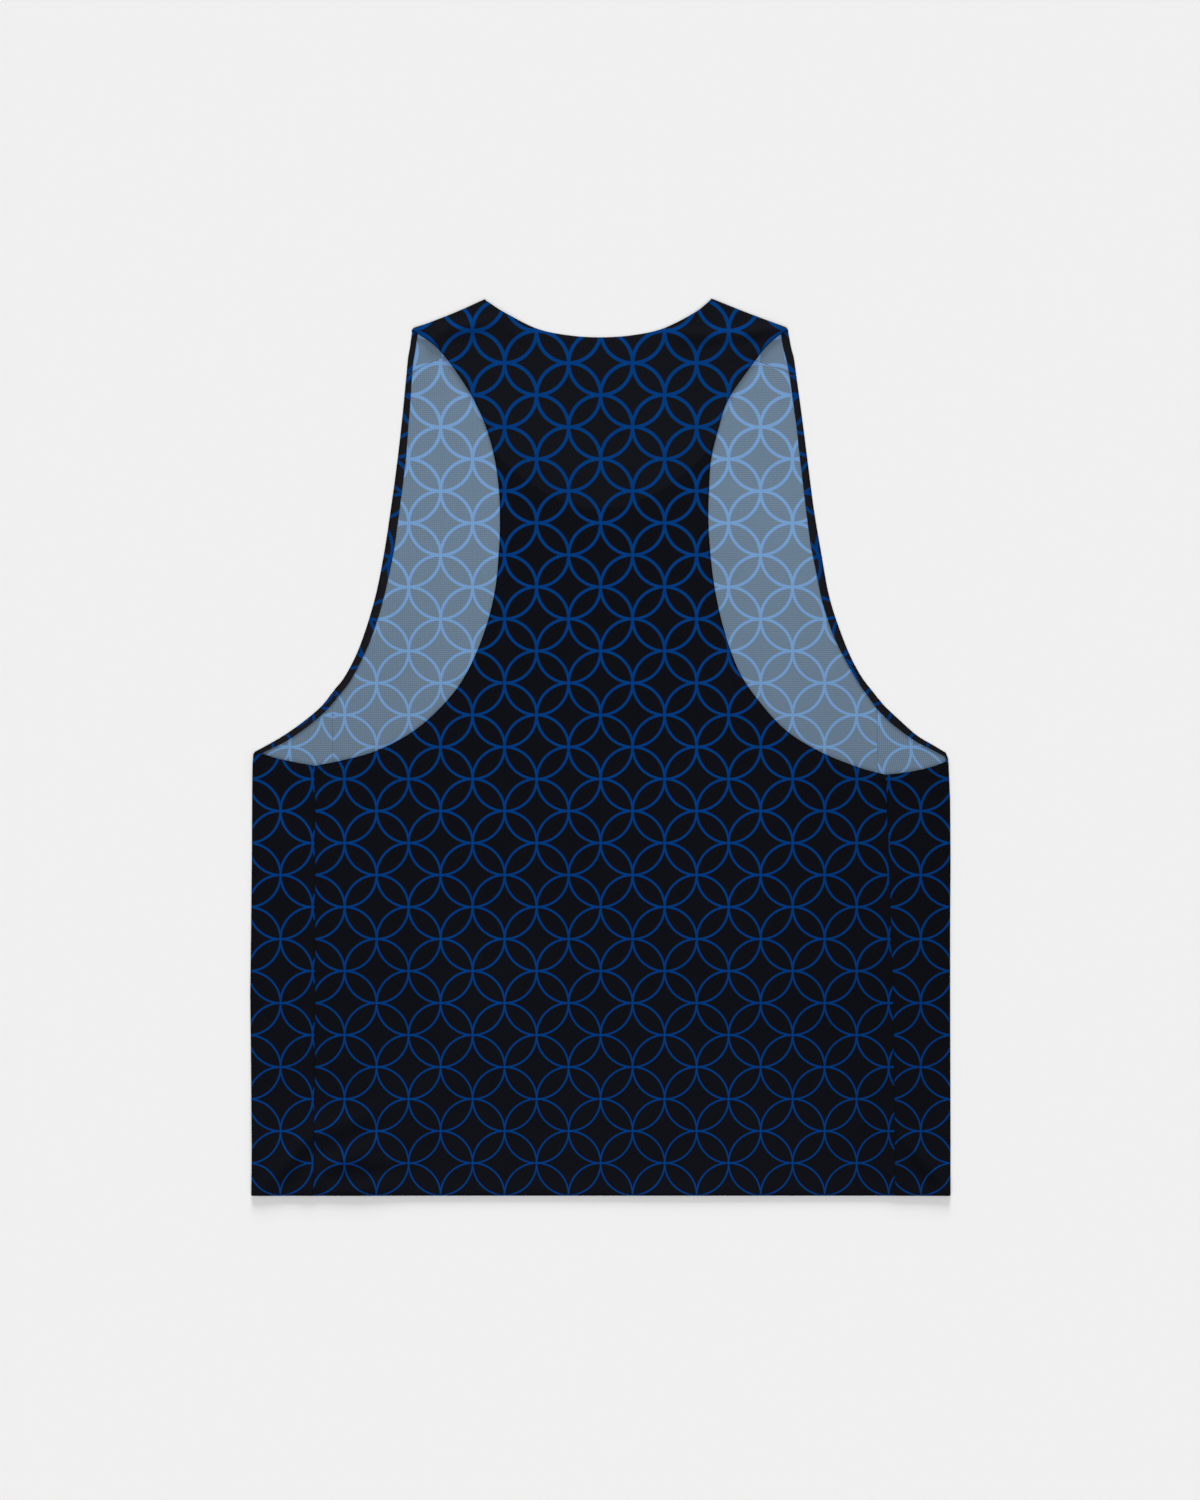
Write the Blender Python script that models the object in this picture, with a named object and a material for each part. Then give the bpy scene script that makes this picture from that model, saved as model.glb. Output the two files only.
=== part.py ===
"""A running singlet laid flat, back upward: four cloth panels, each one closed wall.

The back runs from the hem to the neck, wraps over both shoulder folds and ends on the
front side at the shoulder seams. The front lies under it, flat on the floor. A side panel
on each side wraps round the side fold, from the front seam to the back seam. Along the
armholes every panel's edge is turned inward once, as a narrow doubled edge.

Lengths in the tables are millimetres, with x to the right, y from the hem to the neck and
z up from the floor. The middle of the outline is the origin.
"""

import math

import bmesh
import bpy
from mathutils import Vector

MM = 0.001

# The cloth and its layers
CLOTH = 1.0
GAP = 0.3
LAYER = CLOTH + GAP
LOWER = CLOTH / 2
UPPER = LOWER + LAYER
HALF_SEAM = 0.15

# A turned edge is a tight half round and a narrow strip that lies on the inside.
TURN_RADIUS = LAYER / 2
TURN_REACH = TURN_RADIUS + CLOTH / 2
TURN_STEPS = 4

# A side or shoulder fold leaves room for one turned edge between its two layers.
FOLD_RADIUS = LAYER
FOLD_REACH = FOLD_RADIUS + CLOTH / 2
FOLD_STEPS = 5

# The upper layer stands on the turned edges near the outline, then eases down.
LIFT = LAYER
LIFT_FLAT = 10.0
LIFT_END = 34.0

# From an edge to the next line of points, past the turned strip
BESIDE_EDGE = 9.0

# Strips of the turned edges: y, width from the fold to the cut end
TURN_WIDTHS = (
    (-20.0, 4.8),
    (10.0, 6.2),
    (60.0, 6.6),
    (210.0, 6.2),
    (280.0, 4.4),
    (315.0, 4.8),
)

# Heights of the body: y, then x of the left back seam, left side fold, left front seam,
# right front seam, right side fold and right back seam
HEM_Y = -336.4
BODY = (
    (HEM_Y, -215.4, -262.0, -201.5, 212.0, 262.8, 220.6),
    (-300.0, -214.9, -261.6, -201.5, 211.6, 262.8, 220.5),
    (-220.0, -214.2, -262.4, -201.4, 210.6, 262.3, 220.0),
    (-186.0, -214.1, -262.8, -201.3, 210.0, 262.2, 219.3),
    (-130.0, -214.1, -262.1, -201.2, 209.2, 262.2, 217.6),
    (-85.0, -214.2, -261.6, -201.1, 208.6, 262.5, 216.2),
    (-40.0, -214.2, -261.4, -201.1, 208.1, 262.2, 214.6),
    (-13.5, -214.2, -261.0, -201.1, 207.6, 261.1, 212.8),
)
BACK_SEAM_LEFT, FOLD_LEFT, FRONT_SEAM_LEFT = 1, 2, 3
FRONT_SEAM_RIGHT, FOLD_RIGHT, BACK_SEAM_RIGHT = 4, 5, 6

# Armhole sections of the back, from the top of its side seams to the shoulder folds:
# left x, left y, y on the middle line, right x, right y
BACK_ARMHOLES = (
    (-214.2, -14.3, -40.0, 213.3, -21.0),
    (-194.7, -9.8, -28.0, 193.0, -14.6),
    (-168.5, -2.3, -12.0, 165.0, -2.9),
    (-140.0, 12.8, 8.0, 139.8, 12.8),
    (-115.2, 35.3, 32.0, 118.8, 35.3),
    (-99.5, 57.8, 56.0, 103.8, 57.8),
    (-86.7, 87.8, 86.0, 92.6, 87.8),
    (-79.2, 117.8, 116.0, 85.8, 117.8),
    (-76.2, 147.8, 145.0, 82.1, 147.8),
    (-75.5, 170.3, 168.0, 80.8, 172.0),
    (-76.2, 192.8, 188.0, 81.3, 192.8),
    (-79.2, 215.3, 208.0, 82.8, 215.3),
    (-85.2, 237.8, 228.0, 88.1, 237.8),
    (-95.0, 260.3, 249.0, 95.6, 260.3),
    (-109.2, 282.8, 271.0, 111.3, 283.5),
    (-121.2, 297.8, 288.0, 122.6, 298.3),
    (-130.2, 305.3, 299.0, 131.5, 306.9),
    (-140.7, 312.2, 307.6, 139.7, 312.4),
)

# Armhole sections of the front, from the top of its side seams to the shoulder seams
FRONT_ARMHOLES = (
    (-201.1, 41.2, 10.0, 207.6, 38.0),
    (-191.4, 54.0, 20.0, 195.3, 54.0),
    (-180.5, 76.5, 38.0, 184.1, 76.5),
    (-169.8, 110.3, 60.0, 172.4, 110.3),
    (-162.9, 144.0, 84.0, 166.0, 144.0),
    (-157.7, 177.8, 108.0, 160.2, 177.8),
    (-153.0, 211.5, 132.0, 155.8, 211.5),
    (-149.1, 245.3, 156.0, 151.5, 245.3),
    (-145.7, 280.2, 179.0, 146.7, 279.1),
)

# Armhole edges of the side panels, from the seam to the side fold: left x, left y,
# right x, right y
SIDE_EDGE_LOWER = (
    (-201.1, 41.2, 207.6, 38.0),
    (-209.0, 31.5, 212.9, 31.5),
    (-221.9, 20.3, 224.9, 20.3),
    (-237.8, 9.0, 237.8, 9.0),
    (-250.0, 1.9, 249.0, 2.2),
    (-259.2, -2.8, 259.3, -3.6),
)
SIDE_EDGE_UPPER = (
    (-214.2, -14.3, 213.3, -21.0),
    (-224.0, -12.6, 225.0, -19.6),
    (-234.5, -9.8, 237.3, -17.3),
    (-245.0, -6.6, 249.0, -13.9),
    (-251.0, -4.6, 255.0, -11.9),
    (-259.2, -3.4, 259.3, -10.4),
)

# Shoulder folds and back neckline, left to right
FOLD_LINE_LEFT = ((-141.4, 313.9), (-127.0, 319.4), (-106.5, 327.9), (-86.7, 336.4))
FOLD_LINE_RIGHT = ((82.8, 336.4), (104.0, 327.8), (126.5, 318.9), (140.3, 314.2))
BACK_NECK = (
    (-86.7, 336.4),
    (-71.7, 326.3),
    (-47.7, 314.3),
    (-24.0, 309.3),
    (0.0, 307.6),
    (24.0, 309.2),
    (46.8, 314.3),
    (70.0, 326.3),
    (82.8, 336.4),
)

# The back's end on the front side, in sections from the shoulder fold to the shoulder
# seam: x, y at the armhole, then x, y at the neck
YOKE_LEFT = (
    (-141.8, 311.3, -87.0, 333.9),
    (-144.0, 296.0, -87.9, 318.5),
    (-145.7, 280.2, -87.4, 306.9),
)
YOKE_RIGHT = (
    (140.9, 311.6, 83.2, 333.9),
    (144.2, 296.0, 84.3, 317.5),
    (146.7, 279.1, 84.6, 301.9),
)
FRONT_NECK = (
    (-87.4, 306.9),
    (-88.4, 285.0),
    (-87.5, 262.0),
    (-83.5, 238.0),
    (-73.0, 216.0),
    (-54.0, 200.0),
    (-28.0, 186.5),
    (0.0, 179.0),
    (27.0, 184.0),
    (51.0, 194.5),
    (71.5, 213.0),
    (81.8, 236.0),
    (86.0, 261.0),
    (86.2, 282.0),
    (84.6, 301.9),
)

# Lines of points: across the left strap, the neck and the right strap, and up the body
BACK_COLUMNS = (7, 11, 4)
FRONT_COLUMNS = (3, 14, 3)
BACK_ROWS_UP = (0, 8, 16, 24, 33, 44, 58, 80, 112, 150, 190, 230, 272, 309)
FRONT_ROWS_UP = (0, 90, 180, 270, 345)
SIDE_ROWS_UP = (0, 8, 16, 24, 33, 44, 58, 80, 112, 150, 190, 230, 272)
ARMHOLE_STEPS = 2

# Heights on the middle line above which a panel's lines of points take on its top line
BACK_BLEND_FROM = 130.0
FRONT_BLEND_FROM = 20.0

# Lines of points round a side panel: share of the way from its front seam to the side
# fold on the lower layer, and from the fold to the back seam on the upper layer. The
# turned edge stops short of the fold, which the lines next to it leave plain.
SIDE_LOWER_SHARES = (0.0, 0.16, 0.33, 0.5, 0.67, 0.84, 0.98, 1.0)
SIDE_UPPER_SHARES = (0.0, 0.1, 0.2, 0.22, 0.4, 0.6, 0.8, 1.0)
SIDE_LOWER_PLAIN = 1
SIDE_UPPER_PLAIN = 3
FOLD_CORNER_DROP = 3.0

# From the last turned section to the plain one after it
TURN_END = 0.25

# Soft creases of the upper layer: x, y, direction in degrees, half length, half width,
# height
CREASES = (
    (-233.0, -313.0, 48.0, 27.0, 7.5, 1.5),
    (-188.0, -308.0, 19.0, 40.0, 8.0, 1.3),
    (-190.0, -326.0, 7.0, 36.0, 7.0, 0.9),
    (238.0, -314.0, 130.0, 24.0, 7.5, 1.0),
    (-97.0, 315.0, 14.0, 25.0, 7.5, 1.0),
    (88.0, 316.0, -10.0, 25.0, 7.5, 1.1),
    (106.0, 300.0, -22.0, 22.0, 7.0, 0.8),
)

SLOPE_STEP = 0.5
SHARP_ANGLE = math.radians(40.0)
OUTSIDE_DARK = (0.006, 0.006, 0.009, 1.0)
INSIDE_PALE = (0.141, 0.198, 0.275, 1.0)
CLOTH_ROUGHNESS = 0.75


def between(a, b, share):
    """The point a share of the way from a to b."""
    return tuple(p + (q - p) * share for p, q in zip(a, b))


def smooth(value):
    """0 below 0, 1 above 1 and an S curve between."""
    held = min(max(value, 0.0), 1.0)
    return held * held * (3.0 - 2.0 * held)


def look_up(table, key, column):
    """A table's column at key, its first column, read along straight lines."""
    for row, after in zip(table, table[1:]):
        if key <= after[0]:
            break
    share = min(max((key - row[0]) / (after[0] - row[0]), 0.0), 1.0)
    return row[column] + (after[column] - row[column]) * share


def curve(rows, share):
    """The smooth curve through a table's rows, from 0 at the first to 1 at the last."""
    place = share * (len(rows) - 1)
    i = min(int(place), len(rows) - 2)
    t = place - i
    a, b = rows[i], rows[i + 1]
    before = rows[i - 1] if i else between(b, a, 2.0)
    after = rows[i + 2] if i + 2 < len(rows) else between(a, b, 2.0)
    bend = []
    for p, q, r, s in zip(before, a, b, after):
        cubic = (3.0 * (q - r) + s - p) * t + 2.0 * p - 5.0 * q + 4.0 * r - s
        bend.append(q + 0.5 * t * (r - p + t * cubic))
    return tuple(bend)


def sample(rows, steps):
    """Points on the curve through rows, with this many steps from each row to the next."""
    count = (len(rows) - 1) * steps
    return [curve(rows, i / count) for i in range(count + 1)]


def body_x(column, y):
    """x of a seam or side fold at a height on the body."""
    return look_up(BODY, y, column)


def away(path, turn):
    """Plan directions square to a path, on its left with turn 1 and its right with -1."""
    directions = []
    for i in range(len(path)):
        here = Vector(path[max(i - 1, 0)])
        there = Vector(path[min(i + 1, len(path) - 1)])
        along = (there - here).normalized()
        directions.append(Vector((-along.y, along.x)) * turn)
    return directions


def outlines():
    """The lines near which the upper layer is lifted: armhole edges and folds."""
    fold_heights = [row[0] for row in BODY]
    lines = [
        [(body_x(FOLD_LEFT, y), y) for y in fold_heights],
        [(body_x(FOLD_RIGHT, y), y) for y in fold_heights],
        [row[:2] for row in BACK_ARMHOLES],
        [row[3:] for row in BACK_ARMHOLES],
        [row[:2] for row in SIDE_EDGE_UPPER],
        [row[2:] for row in SIDE_EDGE_UPPER],
        FOLD_LINE_LEFT,
        FOLD_LINE_RIGHT,
    ]
    return [[Vector(point) for point in line] for line in lines]


OUTLINES = outlines()


def distance_to_outline(x, y):
    """Plan distance from a point to the nearest armhole edge or fold."""
    point = Vector((x, y))
    nearest = math.inf
    for line in OUTLINES:
        for a, b in zip(line, line[1:]):
            side = b - a
            share = min(max((point - a).dot(side) / side.length_squared, 0.0), 1.0)
            nearest = min(nearest, (point - a - side * share).length)
    return nearest


def crease_height(x, y):
    """How much the creases raise the upper layer at a point."""
    height = 0.0
    for centre_x, centre_y, degrees, length, width, rise in CREASES:
        turn = math.radians(degrees)
        right, up = x - centre_x, y - centre_y
        along = (right * math.cos(turn) + up * math.sin(turn)) / length
        across = (up * math.cos(turn) - right * math.sin(turn)) / width
        height += rise * math.exp(-along * along - across * across)
    return height


def upper_height(x, y):
    """Height of the middle of the upper layer's wall."""
    outer_part = (LIFT_END - distance_to_outline(x, y)) / (LIFT_END - LIFT_FLAT)
    return UPPER + LIFT * smooth(outer_part) + crease_height(x, y)


def on_upper(x, y):
    """A point of the upper layer and its outward direction, which is up."""
    z = upper_height(x, y)
    slope_x = (upper_height(x + SLOPE_STEP, y) - z) / SLOPE_STEP
    slope_y = (upper_height(x, y + SLOPE_STEP) - z) / SLOPE_STEP
    return Vector((x, y, z)), Vector((-slope_x, -slope_y, 1.0)).normalized()


def on_lower(x, y):
    """A point of the lower layer and its outward direction, which is down."""
    return Vector((x, y, LOWER)), Vector((0.0, 0.0, -1.0))


class Sheet:
    """The middle surface of a panel: points, the outward direction at each, and quads."""

    def __init__(self):
        self.points = []
        self.outward = []
        self.quads = []

    def add(self, placed):
        """Adds (point, outward direction) pairs and returns their numbers."""
        first = len(self.points)
        for point, direction in placed:
            self.points.append(point)
            self.outward.append(direction)
        return list(range(first, len(self.points)))

    def join(self, line, next_line):
        """Fills the space between two lines of points with quads."""
        for k in range(len(line) - 1):
            self.quads.append((line[k], line[k + 1], next_line[k + 1], next_line[k]))

    def grid(self, lines):
        """Adds lines of (point, outward direction) pairs as one grid."""
        numbers = [self.add(line) for line in lines]
        for line, next_line in zip(numbers, numbers[1:]):
            self.join(line, next_line)
        return numbers

    def turn_in(self, rim, outer_sides, widths):
        """Turns the cloth inward along a rim: a half round, then a flat strip.

        outer_sides holds the plan direction away from the panel at each rim point.
        """
        line = rim
        for step in range(1, TURN_STEPS + 1):
            angle = math.pi * step / TURN_STEPS
            placed = []
            for number, side in zip(rim, outer_sides):
                up = Vector((0.0, 0.0, math.copysign(1.0, self.outward[number].z)))
                direction = side.to_3d() * math.sin(angle) + up * math.cos(angle)
                centre = self.points[number] - up * TURN_RADIUS
                placed.append((centre + direction * TURN_RADIUS, direction))
            next_line = self.add(placed)
            self.join(line, next_line)
            line = next_line
        strip = []
        for number, side, width in zip(line, outer_sides, widths):
            inward = side.to_3d() * (TURN_REACH - width)
            strip.append((self.points[number] + inward, self.outward[number]))
        self.join(line, self.add(strip))

    def wall(self, name, colour):
        """Makes the sheet a closed wall of cloth, as an object of its own."""
        count = len(self.points)
        half = CLOTH / 2
        outer = [p + n * half for p, n in zip(self.points, self.outward)]
        inner = [p - n * half for p, n in zip(self.points, self.outward)]
        faces = list(self.quads)
        faces += [tuple(i + count for i in quad) for quad in self.quads]
        for a, b in self.cut_edges():
            faces.append((a, b, b + count, a + count))
        mesh = bpy.data.meshes.new(name)
        mesh.from_pydata([p * MM for p in outer + inner], [], faces)
        tidy = bmesh.new()
        tidy.from_mesh(mesh)
        bmesh.ops.recalc_face_normals(tidy, faces=tidy.faces)
        tidy.to_mesh(mesh)
        tidy.free()
        mesh.shade_smooth()
        mesh.set_sharp_from_angle(angle=SHARP_ANGLE)
        mesh.materials.append(cloth_material(name, colour))
        panel = bpy.data.objects.new(name, mesh)
        bpy.context.scene.collection.objects.link(panel)
        return panel

    def cut_edges(self):
        """The edges that only one quad has: where the cloth is cut."""
        uses = {}
        for quad in self.quads:
            for a, b in zip(quad, quad[1:] + quad[:1]):
                key = (min(a, b), max(a, b))
                uses[key] = uses.get(key, 0) + 1
        return [edge for edge, number in uses.items() if number == 1]


def cloth_material(name, colour):
    """A matt knit in one colour."""
    material = bpy.data.materials.new(name + "_cloth")
    material.use_nodes = True
    surface = material.node_tree.nodes["Principled BSDF"]
    surface.inputs["Base Color"].default_value = colour
    surface.inputs["Roughness"].default_value = CLOTH_ROUGHNESS
    surface.inputs["Metallic"].default_value = 0.0
    return material


def column_shares(columns):
    """Even shares across the left strap, the neck and the right strap, strap first."""
    left, neck, right = columns
    return (
        [k / left for k in range(left + 1)],
        [k / neck for k in range(1, neck)],
        [k / right for k in range(right + 1)],
    )


def strap_lines(left_line, neck_line, right_line, columns):
    """The top line of a panel: left strap end, neckline, right strap end."""
    left, neck, right = column_shares(columns)
    top = [left_line(share) for share in left]
    top += [curve(neck_line, share) for share in neck]
    return top + [right_line(share) for share in right]


def across(section, sides, columns):
    """Plan points across a panel at one section.

    The first and last two stand square to the edge, the others are spread between them
    and bow to the section's height on the middle line.
    """
    left, right = Vector(section[:2]), Vector(section[3:])
    left_inner = left - sides[0] * BESIDE_EDGE
    right_inner = right - sides[1] * BESIDE_EDGE
    count = sum(columns)
    bow = section[2] - (left_inner.y + right_inner.y) / 2
    points = [left]
    for k in range(1, count):
        share = (k - 1) / (count - 2)
        point = left_inner.lerp(right_inner, share)
        points.append(point + Vector((0.0, bow * 4.0 * share * (1.0 - share))))
    return points + [right]


def panel_plan(body, armholes, sides, top, columns, blend_from):
    """Plan points of a whole panel: body sections, armhole sections, and its top line.

    Above the height blend_from on the middle line, the sections take on the top line's
    form by degrees.
    """
    level = [Vector((-1.0, 0.0)), Vector((1.0, 0.0))]
    plan = [across(section, level, columns) for section in body]
    plan += [across(section, pair, columns) for section, pair in zip(armholes, sides)]
    last = armholes[-1][2]
    shifts = [Vector(end) - point for end, point in zip(top, plan[-1])]
    for section, line in zip(list(body) + list(armholes), plan):
        weight = smooth((section[2] - blend_from) / (last - blend_from))
        for k, shift in enumerate(shifts):
            line[k] = line[k] + shift * weight
    return plan


def body_sections(rows_up, seams, corner, left_shift):
    """Sections of the body below the armholes, at these heights above the hem."""
    left_top, middle_top, right_top = corner[1], corner[2], corner[4]
    sections = []
    for up in rows_up:
        share = up / (left_top - HEM_Y)
        left_y, middle_y, right_y = (
            HEM_Y + share * (y - HEM_Y) for y in (left_top, middle_top, right_top)
        )
        left_x = body_x(seams[0], left_y) + left_shift
        right_x = body_x(seams[1], right_y) - left_shift
        sections.append((left_x, left_y, middle_y, right_x, right_y))
    return sections


def seam_sides(armholes, side_edge):
    """Plan directions out of the armhole edge where a side seam meets it, left and right.

    The panels on both sides of the seam turn their edges in the same direction there.
    """
    left = [side_edge[1][:2], armholes[1][:2]]
    right = [side_edge[1][2:], armholes[1][3:]]
    return away(left, 1.0)[0], away(right, -1.0)[0]


def armhole_sides(armholes, at_seam):
    """Plan directions away from the panel at both ends of each armhole section."""
    left = away([row[:2] for row in armholes], 1.0)
    right = away([row[3:] for row in armholes], -1.0)
    return [at_seam] + list(zip(left, right))[1:]


def set_in(armholes, sides, turned):
    """Armhole sections whose first rows are set in, to leave room for the turn.

    The very first row lies on the side seams, so it is set in straight down them.
    """
    moved = []
    for i, (row, (left, right)) in enumerate(zip(armholes, sides)):
        reach = TURN_REACH if i < turned else 0.0
        left_end = Vector(row[:2]) - left * reach
        right_end = Vector(row[3:]) - right * reach
        moved.append((left_end.x, left_end.y, row[2], right_end.x, right_end.y))
    left_x, left_y, middle_y, right_x, right_y = armholes[0]
    left, right = sides[0]
    moved[0] = (
        left_x + HALF_SEAM,
        left_y - TURN_REACH / left.y,
        middle_y,
        right_x - HALF_SEAM,
        right_y - TURN_REACH / right.y,
    )
    return moved


def widths_at(points):
    """Widths of the turned strip at plan points."""
    return [look_up(TURN_WIDTHS, point[1], 1) for point in points]


def fold_direction(line):
    """The plan direction out of a shoulder fold, up from its line."""
    along = (Vector(line[-1]) - Vector(line[0])).normalized()
    return Vector((-along.y, along.x))


def add_yoke(sheet, start, fold_line, sections, armhole_first):
    """Wraps the back's cloth over a shoulder fold and down to the shoulder seam.

    start holds the numbers of the strap's end on the upper layer, from left to right.
    """
    out = fold_direction(fold_line).to_3d()
    line = start
    for step in range(1, FOLD_STEPS + 1):
        angle = math.pi * step / FOLD_STEPS
        placed = []
        for number in start:
            top = sheet.points[number]
            half_height = (top.z - LOWER) / 2
            centre = Vector((top.x, top.y, LOWER + half_height))
            rise = Vector((0.0, 0.0, half_height * math.cos(angle)))
            direction = out * math.sin(angle) + Vector((0.0, 0.0, math.cos(angle)))
            placed.append((centre + out * FOLD_RADIUS * math.sin(angle) + rise, direction))
        next_line = sheet.add(placed)
        sheet.join(line, next_line)
        line = next_line

    armhole = 0 if armhole_first else -1
    turn = 1.0 if armhole_first else -1.0
    edge = [Vector(section[:2]) for section in sections]
    sides = [-side for side in away(edge, turn)]
    seam_up = (edge[-2] - edge[-1]).normalized() * HALF_SEAM
    rim = []
    for i, (section, side) in enumerate(zip(sections, sides)):
        ends = [Vector(section[:2]) - side * TURN_REACH, Vector(section[2:])]
        if i == len(sections) - 1:
            ends = [end + seam_up for end in ends]
        if not armhole_first:
            ends.reverse()
        count = len(start) - 1
        points = [ends[0].lerp(ends[1], k / count) for k in range(count + 1)]
        next_line = sheet.add([on_lower(*point) for point in points])
        sheet.join(line, next_line)
        line = next_line
        rim.append(line[armhole])
    sheet.turn_in(rim, sides, widths_at(edge))


def back_panel():
    """The back: upper layer, wrapped over both shoulder folds."""
    armholes = sample(BACK_ARMHOLES, ARMHOLE_STEPS)
    sides = armhole_sides(armholes, seam_sides(BACK_ARMHOLES, SIDE_EDGE_UPPER))
    turned = len(armholes) - 1
    armholes.insert(turned, between(armholes[turned - 1], armholes[turned], TURN_END))
    sides.insert(turned, sides[turned - 1])
    seams = (BACK_SEAM_LEFT, BACK_SEAM_RIGHT)
    body = body_sections(BACK_ROWS_UP, seams, BACK_ARMHOLES[0], HALF_SEAM)

    def strap_end(line):
        inward = fold_direction(line) * FOLD_REACH
        return lambda share: Vector(curve(line, share)) - inward

    top = strap_lines(
        strap_end(FOLD_LINE_LEFT), BACK_NECK, strap_end(FOLD_LINE_RIGHT), BACK_COLUMNS
    )
    # The row past the turned edge follows the last turned one, but its ends reach the edge
    rows = set_in(armholes, sides, turned + 1)
    plan = panel_plan(body, rows, sides, top, BACK_COLUMNS, BACK_BLEND_FROM)
    plain_row = plan[len(body) + turned]
    plain_row[0] = Vector(armholes[turned][:2])
    plain_row[-1] = Vector(armholes[turned][3:])
    sheet = Sheet()
    grid = sheet.grid([[on_upper(*point) for point in line] for line in plan])

    first = len(body)
    turned_rows = grid[first : first + turned]
    widths = widths_at([row[:2] for row in armholes[:turned]])
    left_sides = [pair[0] for pair in sides[:turned]]
    right_sides = [pair[1] for pair in sides[:turned]]
    sheet.turn_in([line[0] for line in turned_rows], left_sides, widths)
    sheet.turn_in([line[-1] for line in turned_rows], right_sides, widths)

    left_count, _, right_count = BACK_COLUMNS
    add_yoke(sheet, grid[-1][: left_count + 1], FOLD_LINE_LEFT, YOKE_LEFT, True)
    add_yoke(sheet, grid[-1][-right_count - 1 :], FOLD_LINE_RIGHT, YOKE_RIGHT, False)
    return sheet.wall("back_panel", OUTSIDE_DARK)


def front_panel():
    """The front: flat on the floor, its armhole edges turned up over its inside."""
    armholes = sample(FRONT_ARMHOLES, ARMHOLE_STEPS)
    sides = armhole_sides(armholes, seam_sides(FRONT_ARMHOLES, SIDE_EDGE_LOWER))
    seams = (FRONT_SEAM_LEFT, FRONT_SEAM_RIGHT)
    body = body_sections(FRONT_ROWS_UP, seams, FRONT_ARMHOLES[0], HALF_SEAM)
    rows = set_in(armholes, sides, len(armholes))
    below = Vector((0.0, -HALF_SEAM))

    def seam_line(end, start):
        return lambda share: end.lerp(start, share) + below

    left_edge, right_edge = Vector(rows[-1][:2]), Vector(rows[-1][3:])
    left_neck, right_neck = Vector(FRONT_NECK[0]), Vector(FRONT_NECK[-1])
    top = strap_lines(
        seam_line(left_edge, left_neck),
        FRONT_NECK,
        seam_line(right_neck, right_edge),
        FRONT_COLUMNS,
    )
    plan = panel_plan(body, rows, sides, top, FRONT_COLUMNS, FRONT_BLEND_FROM)
    sheet = Sheet()
    grid = sheet.grid([[on_lower(*point) for point in line] for line in plan])
    turned_rows = grid[len(body) :]
    widths = widths_at([row[:2] for row in armholes])
    sheet.turn_in([line[0] for line in turned_rows], [pair[0] for pair in sides], widths)
    sheet.turn_in([line[-1] for line in turned_rows], [pair[1] for pair in sides], widths)
    return sheet.wall("front_panel", INSIDE_PALE)


class Side:
    """Where a side panel runs: its two seams, its fold and its armhole edges."""

    def __init__(self, left):
        self.out = -1.0 if left else 1.0
        self.front_seam = FRONT_SEAM_LEFT if left else FRONT_SEAM_RIGHT
        self.fold = FOLD_LEFT if left else FOLD_RIGHT
        self.back_seam = BACK_SEAM_LEFT if left else BACK_SEAM_RIGHT
        ends = slice(0, 2) if left else slice(2, 4)
        self.lower_edge = [row[ends] for row in SIDE_EDGE_LOWER]
        self.upper_edge = [row[ends] for row in SIDE_EDGE_UPPER]

    def fold_centre(self, y):
        """x of the middle of the side fold's half round."""
        return body_x(self.fold, y) - self.out * FOLD_REACH

    def lower_x(self, share, y):
        """x on the lower layer, a share of the way from the front seam to the fold."""
        seam = body_x(self.front_seam, y) + self.out * HALF_SEAM
        return seam + (self.fold_centre(y) - seam) * share

    def upper_x(self, share, y):
        """x on the upper layer, a share of the way from the fold to the back seam."""
        seam = body_x(self.back_seam, y) + self.out * HALF_SEAM
        centre = self.fold_centre(y)
        return centre + (seam - centre) * share

    def fold_row(self, low_y, high_y, drop):
        """Points round the side fold, from the lower layer to the upper one."""
        placed = []
        for step in range(1, FOLD_STEPS):
            angle = math.pi * step / FOLD_STEPS
            y = low_y + (high_y - low_y) * step / FOLD_STEPS - drop * math.sin(angle)
            centre = self.fold_centre(y)
            half_height = (upper_height(centre, y) - LOWER) / 2
            x = centre + self.out * FOLD_RADIUS * math.sin(angle)
            z = LOWER + half_height * (1.0 - math.cos(angle))
            direction = Vector((self.out * math.sin(angle), 0.0, -math.cos(angle)))
            placed.append((Vector((x, y, z)), direction))
        return placed


def edge_y(edge, x):
    """Height of an armhole edge at a distance from the middle line."""
    points = sorted((abs(a), b) for a, b in edge)
    return look_up(points, abs(x), 1)


def side_edge(edge, columns, turn, turned, seam, at_seam):
    """Points on a side panel's armhole edge, their outward sides, and its rim.

    The rim is where the points of the grid end: straight below the edge, by enough to
    leave room for the turn where the edge is turned.
    """
    points = [(x, edge_y(edge, x)) for x in columns]
    sides = away(points, turn)
    sides[seam] = at_seam
    rim = []
    for (x, y), side, is_turned in zip(points, sides, turned):
        rim.append(y - TURN_REACH / side.y if is_turned else y)
    return points, sides, rim


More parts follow.
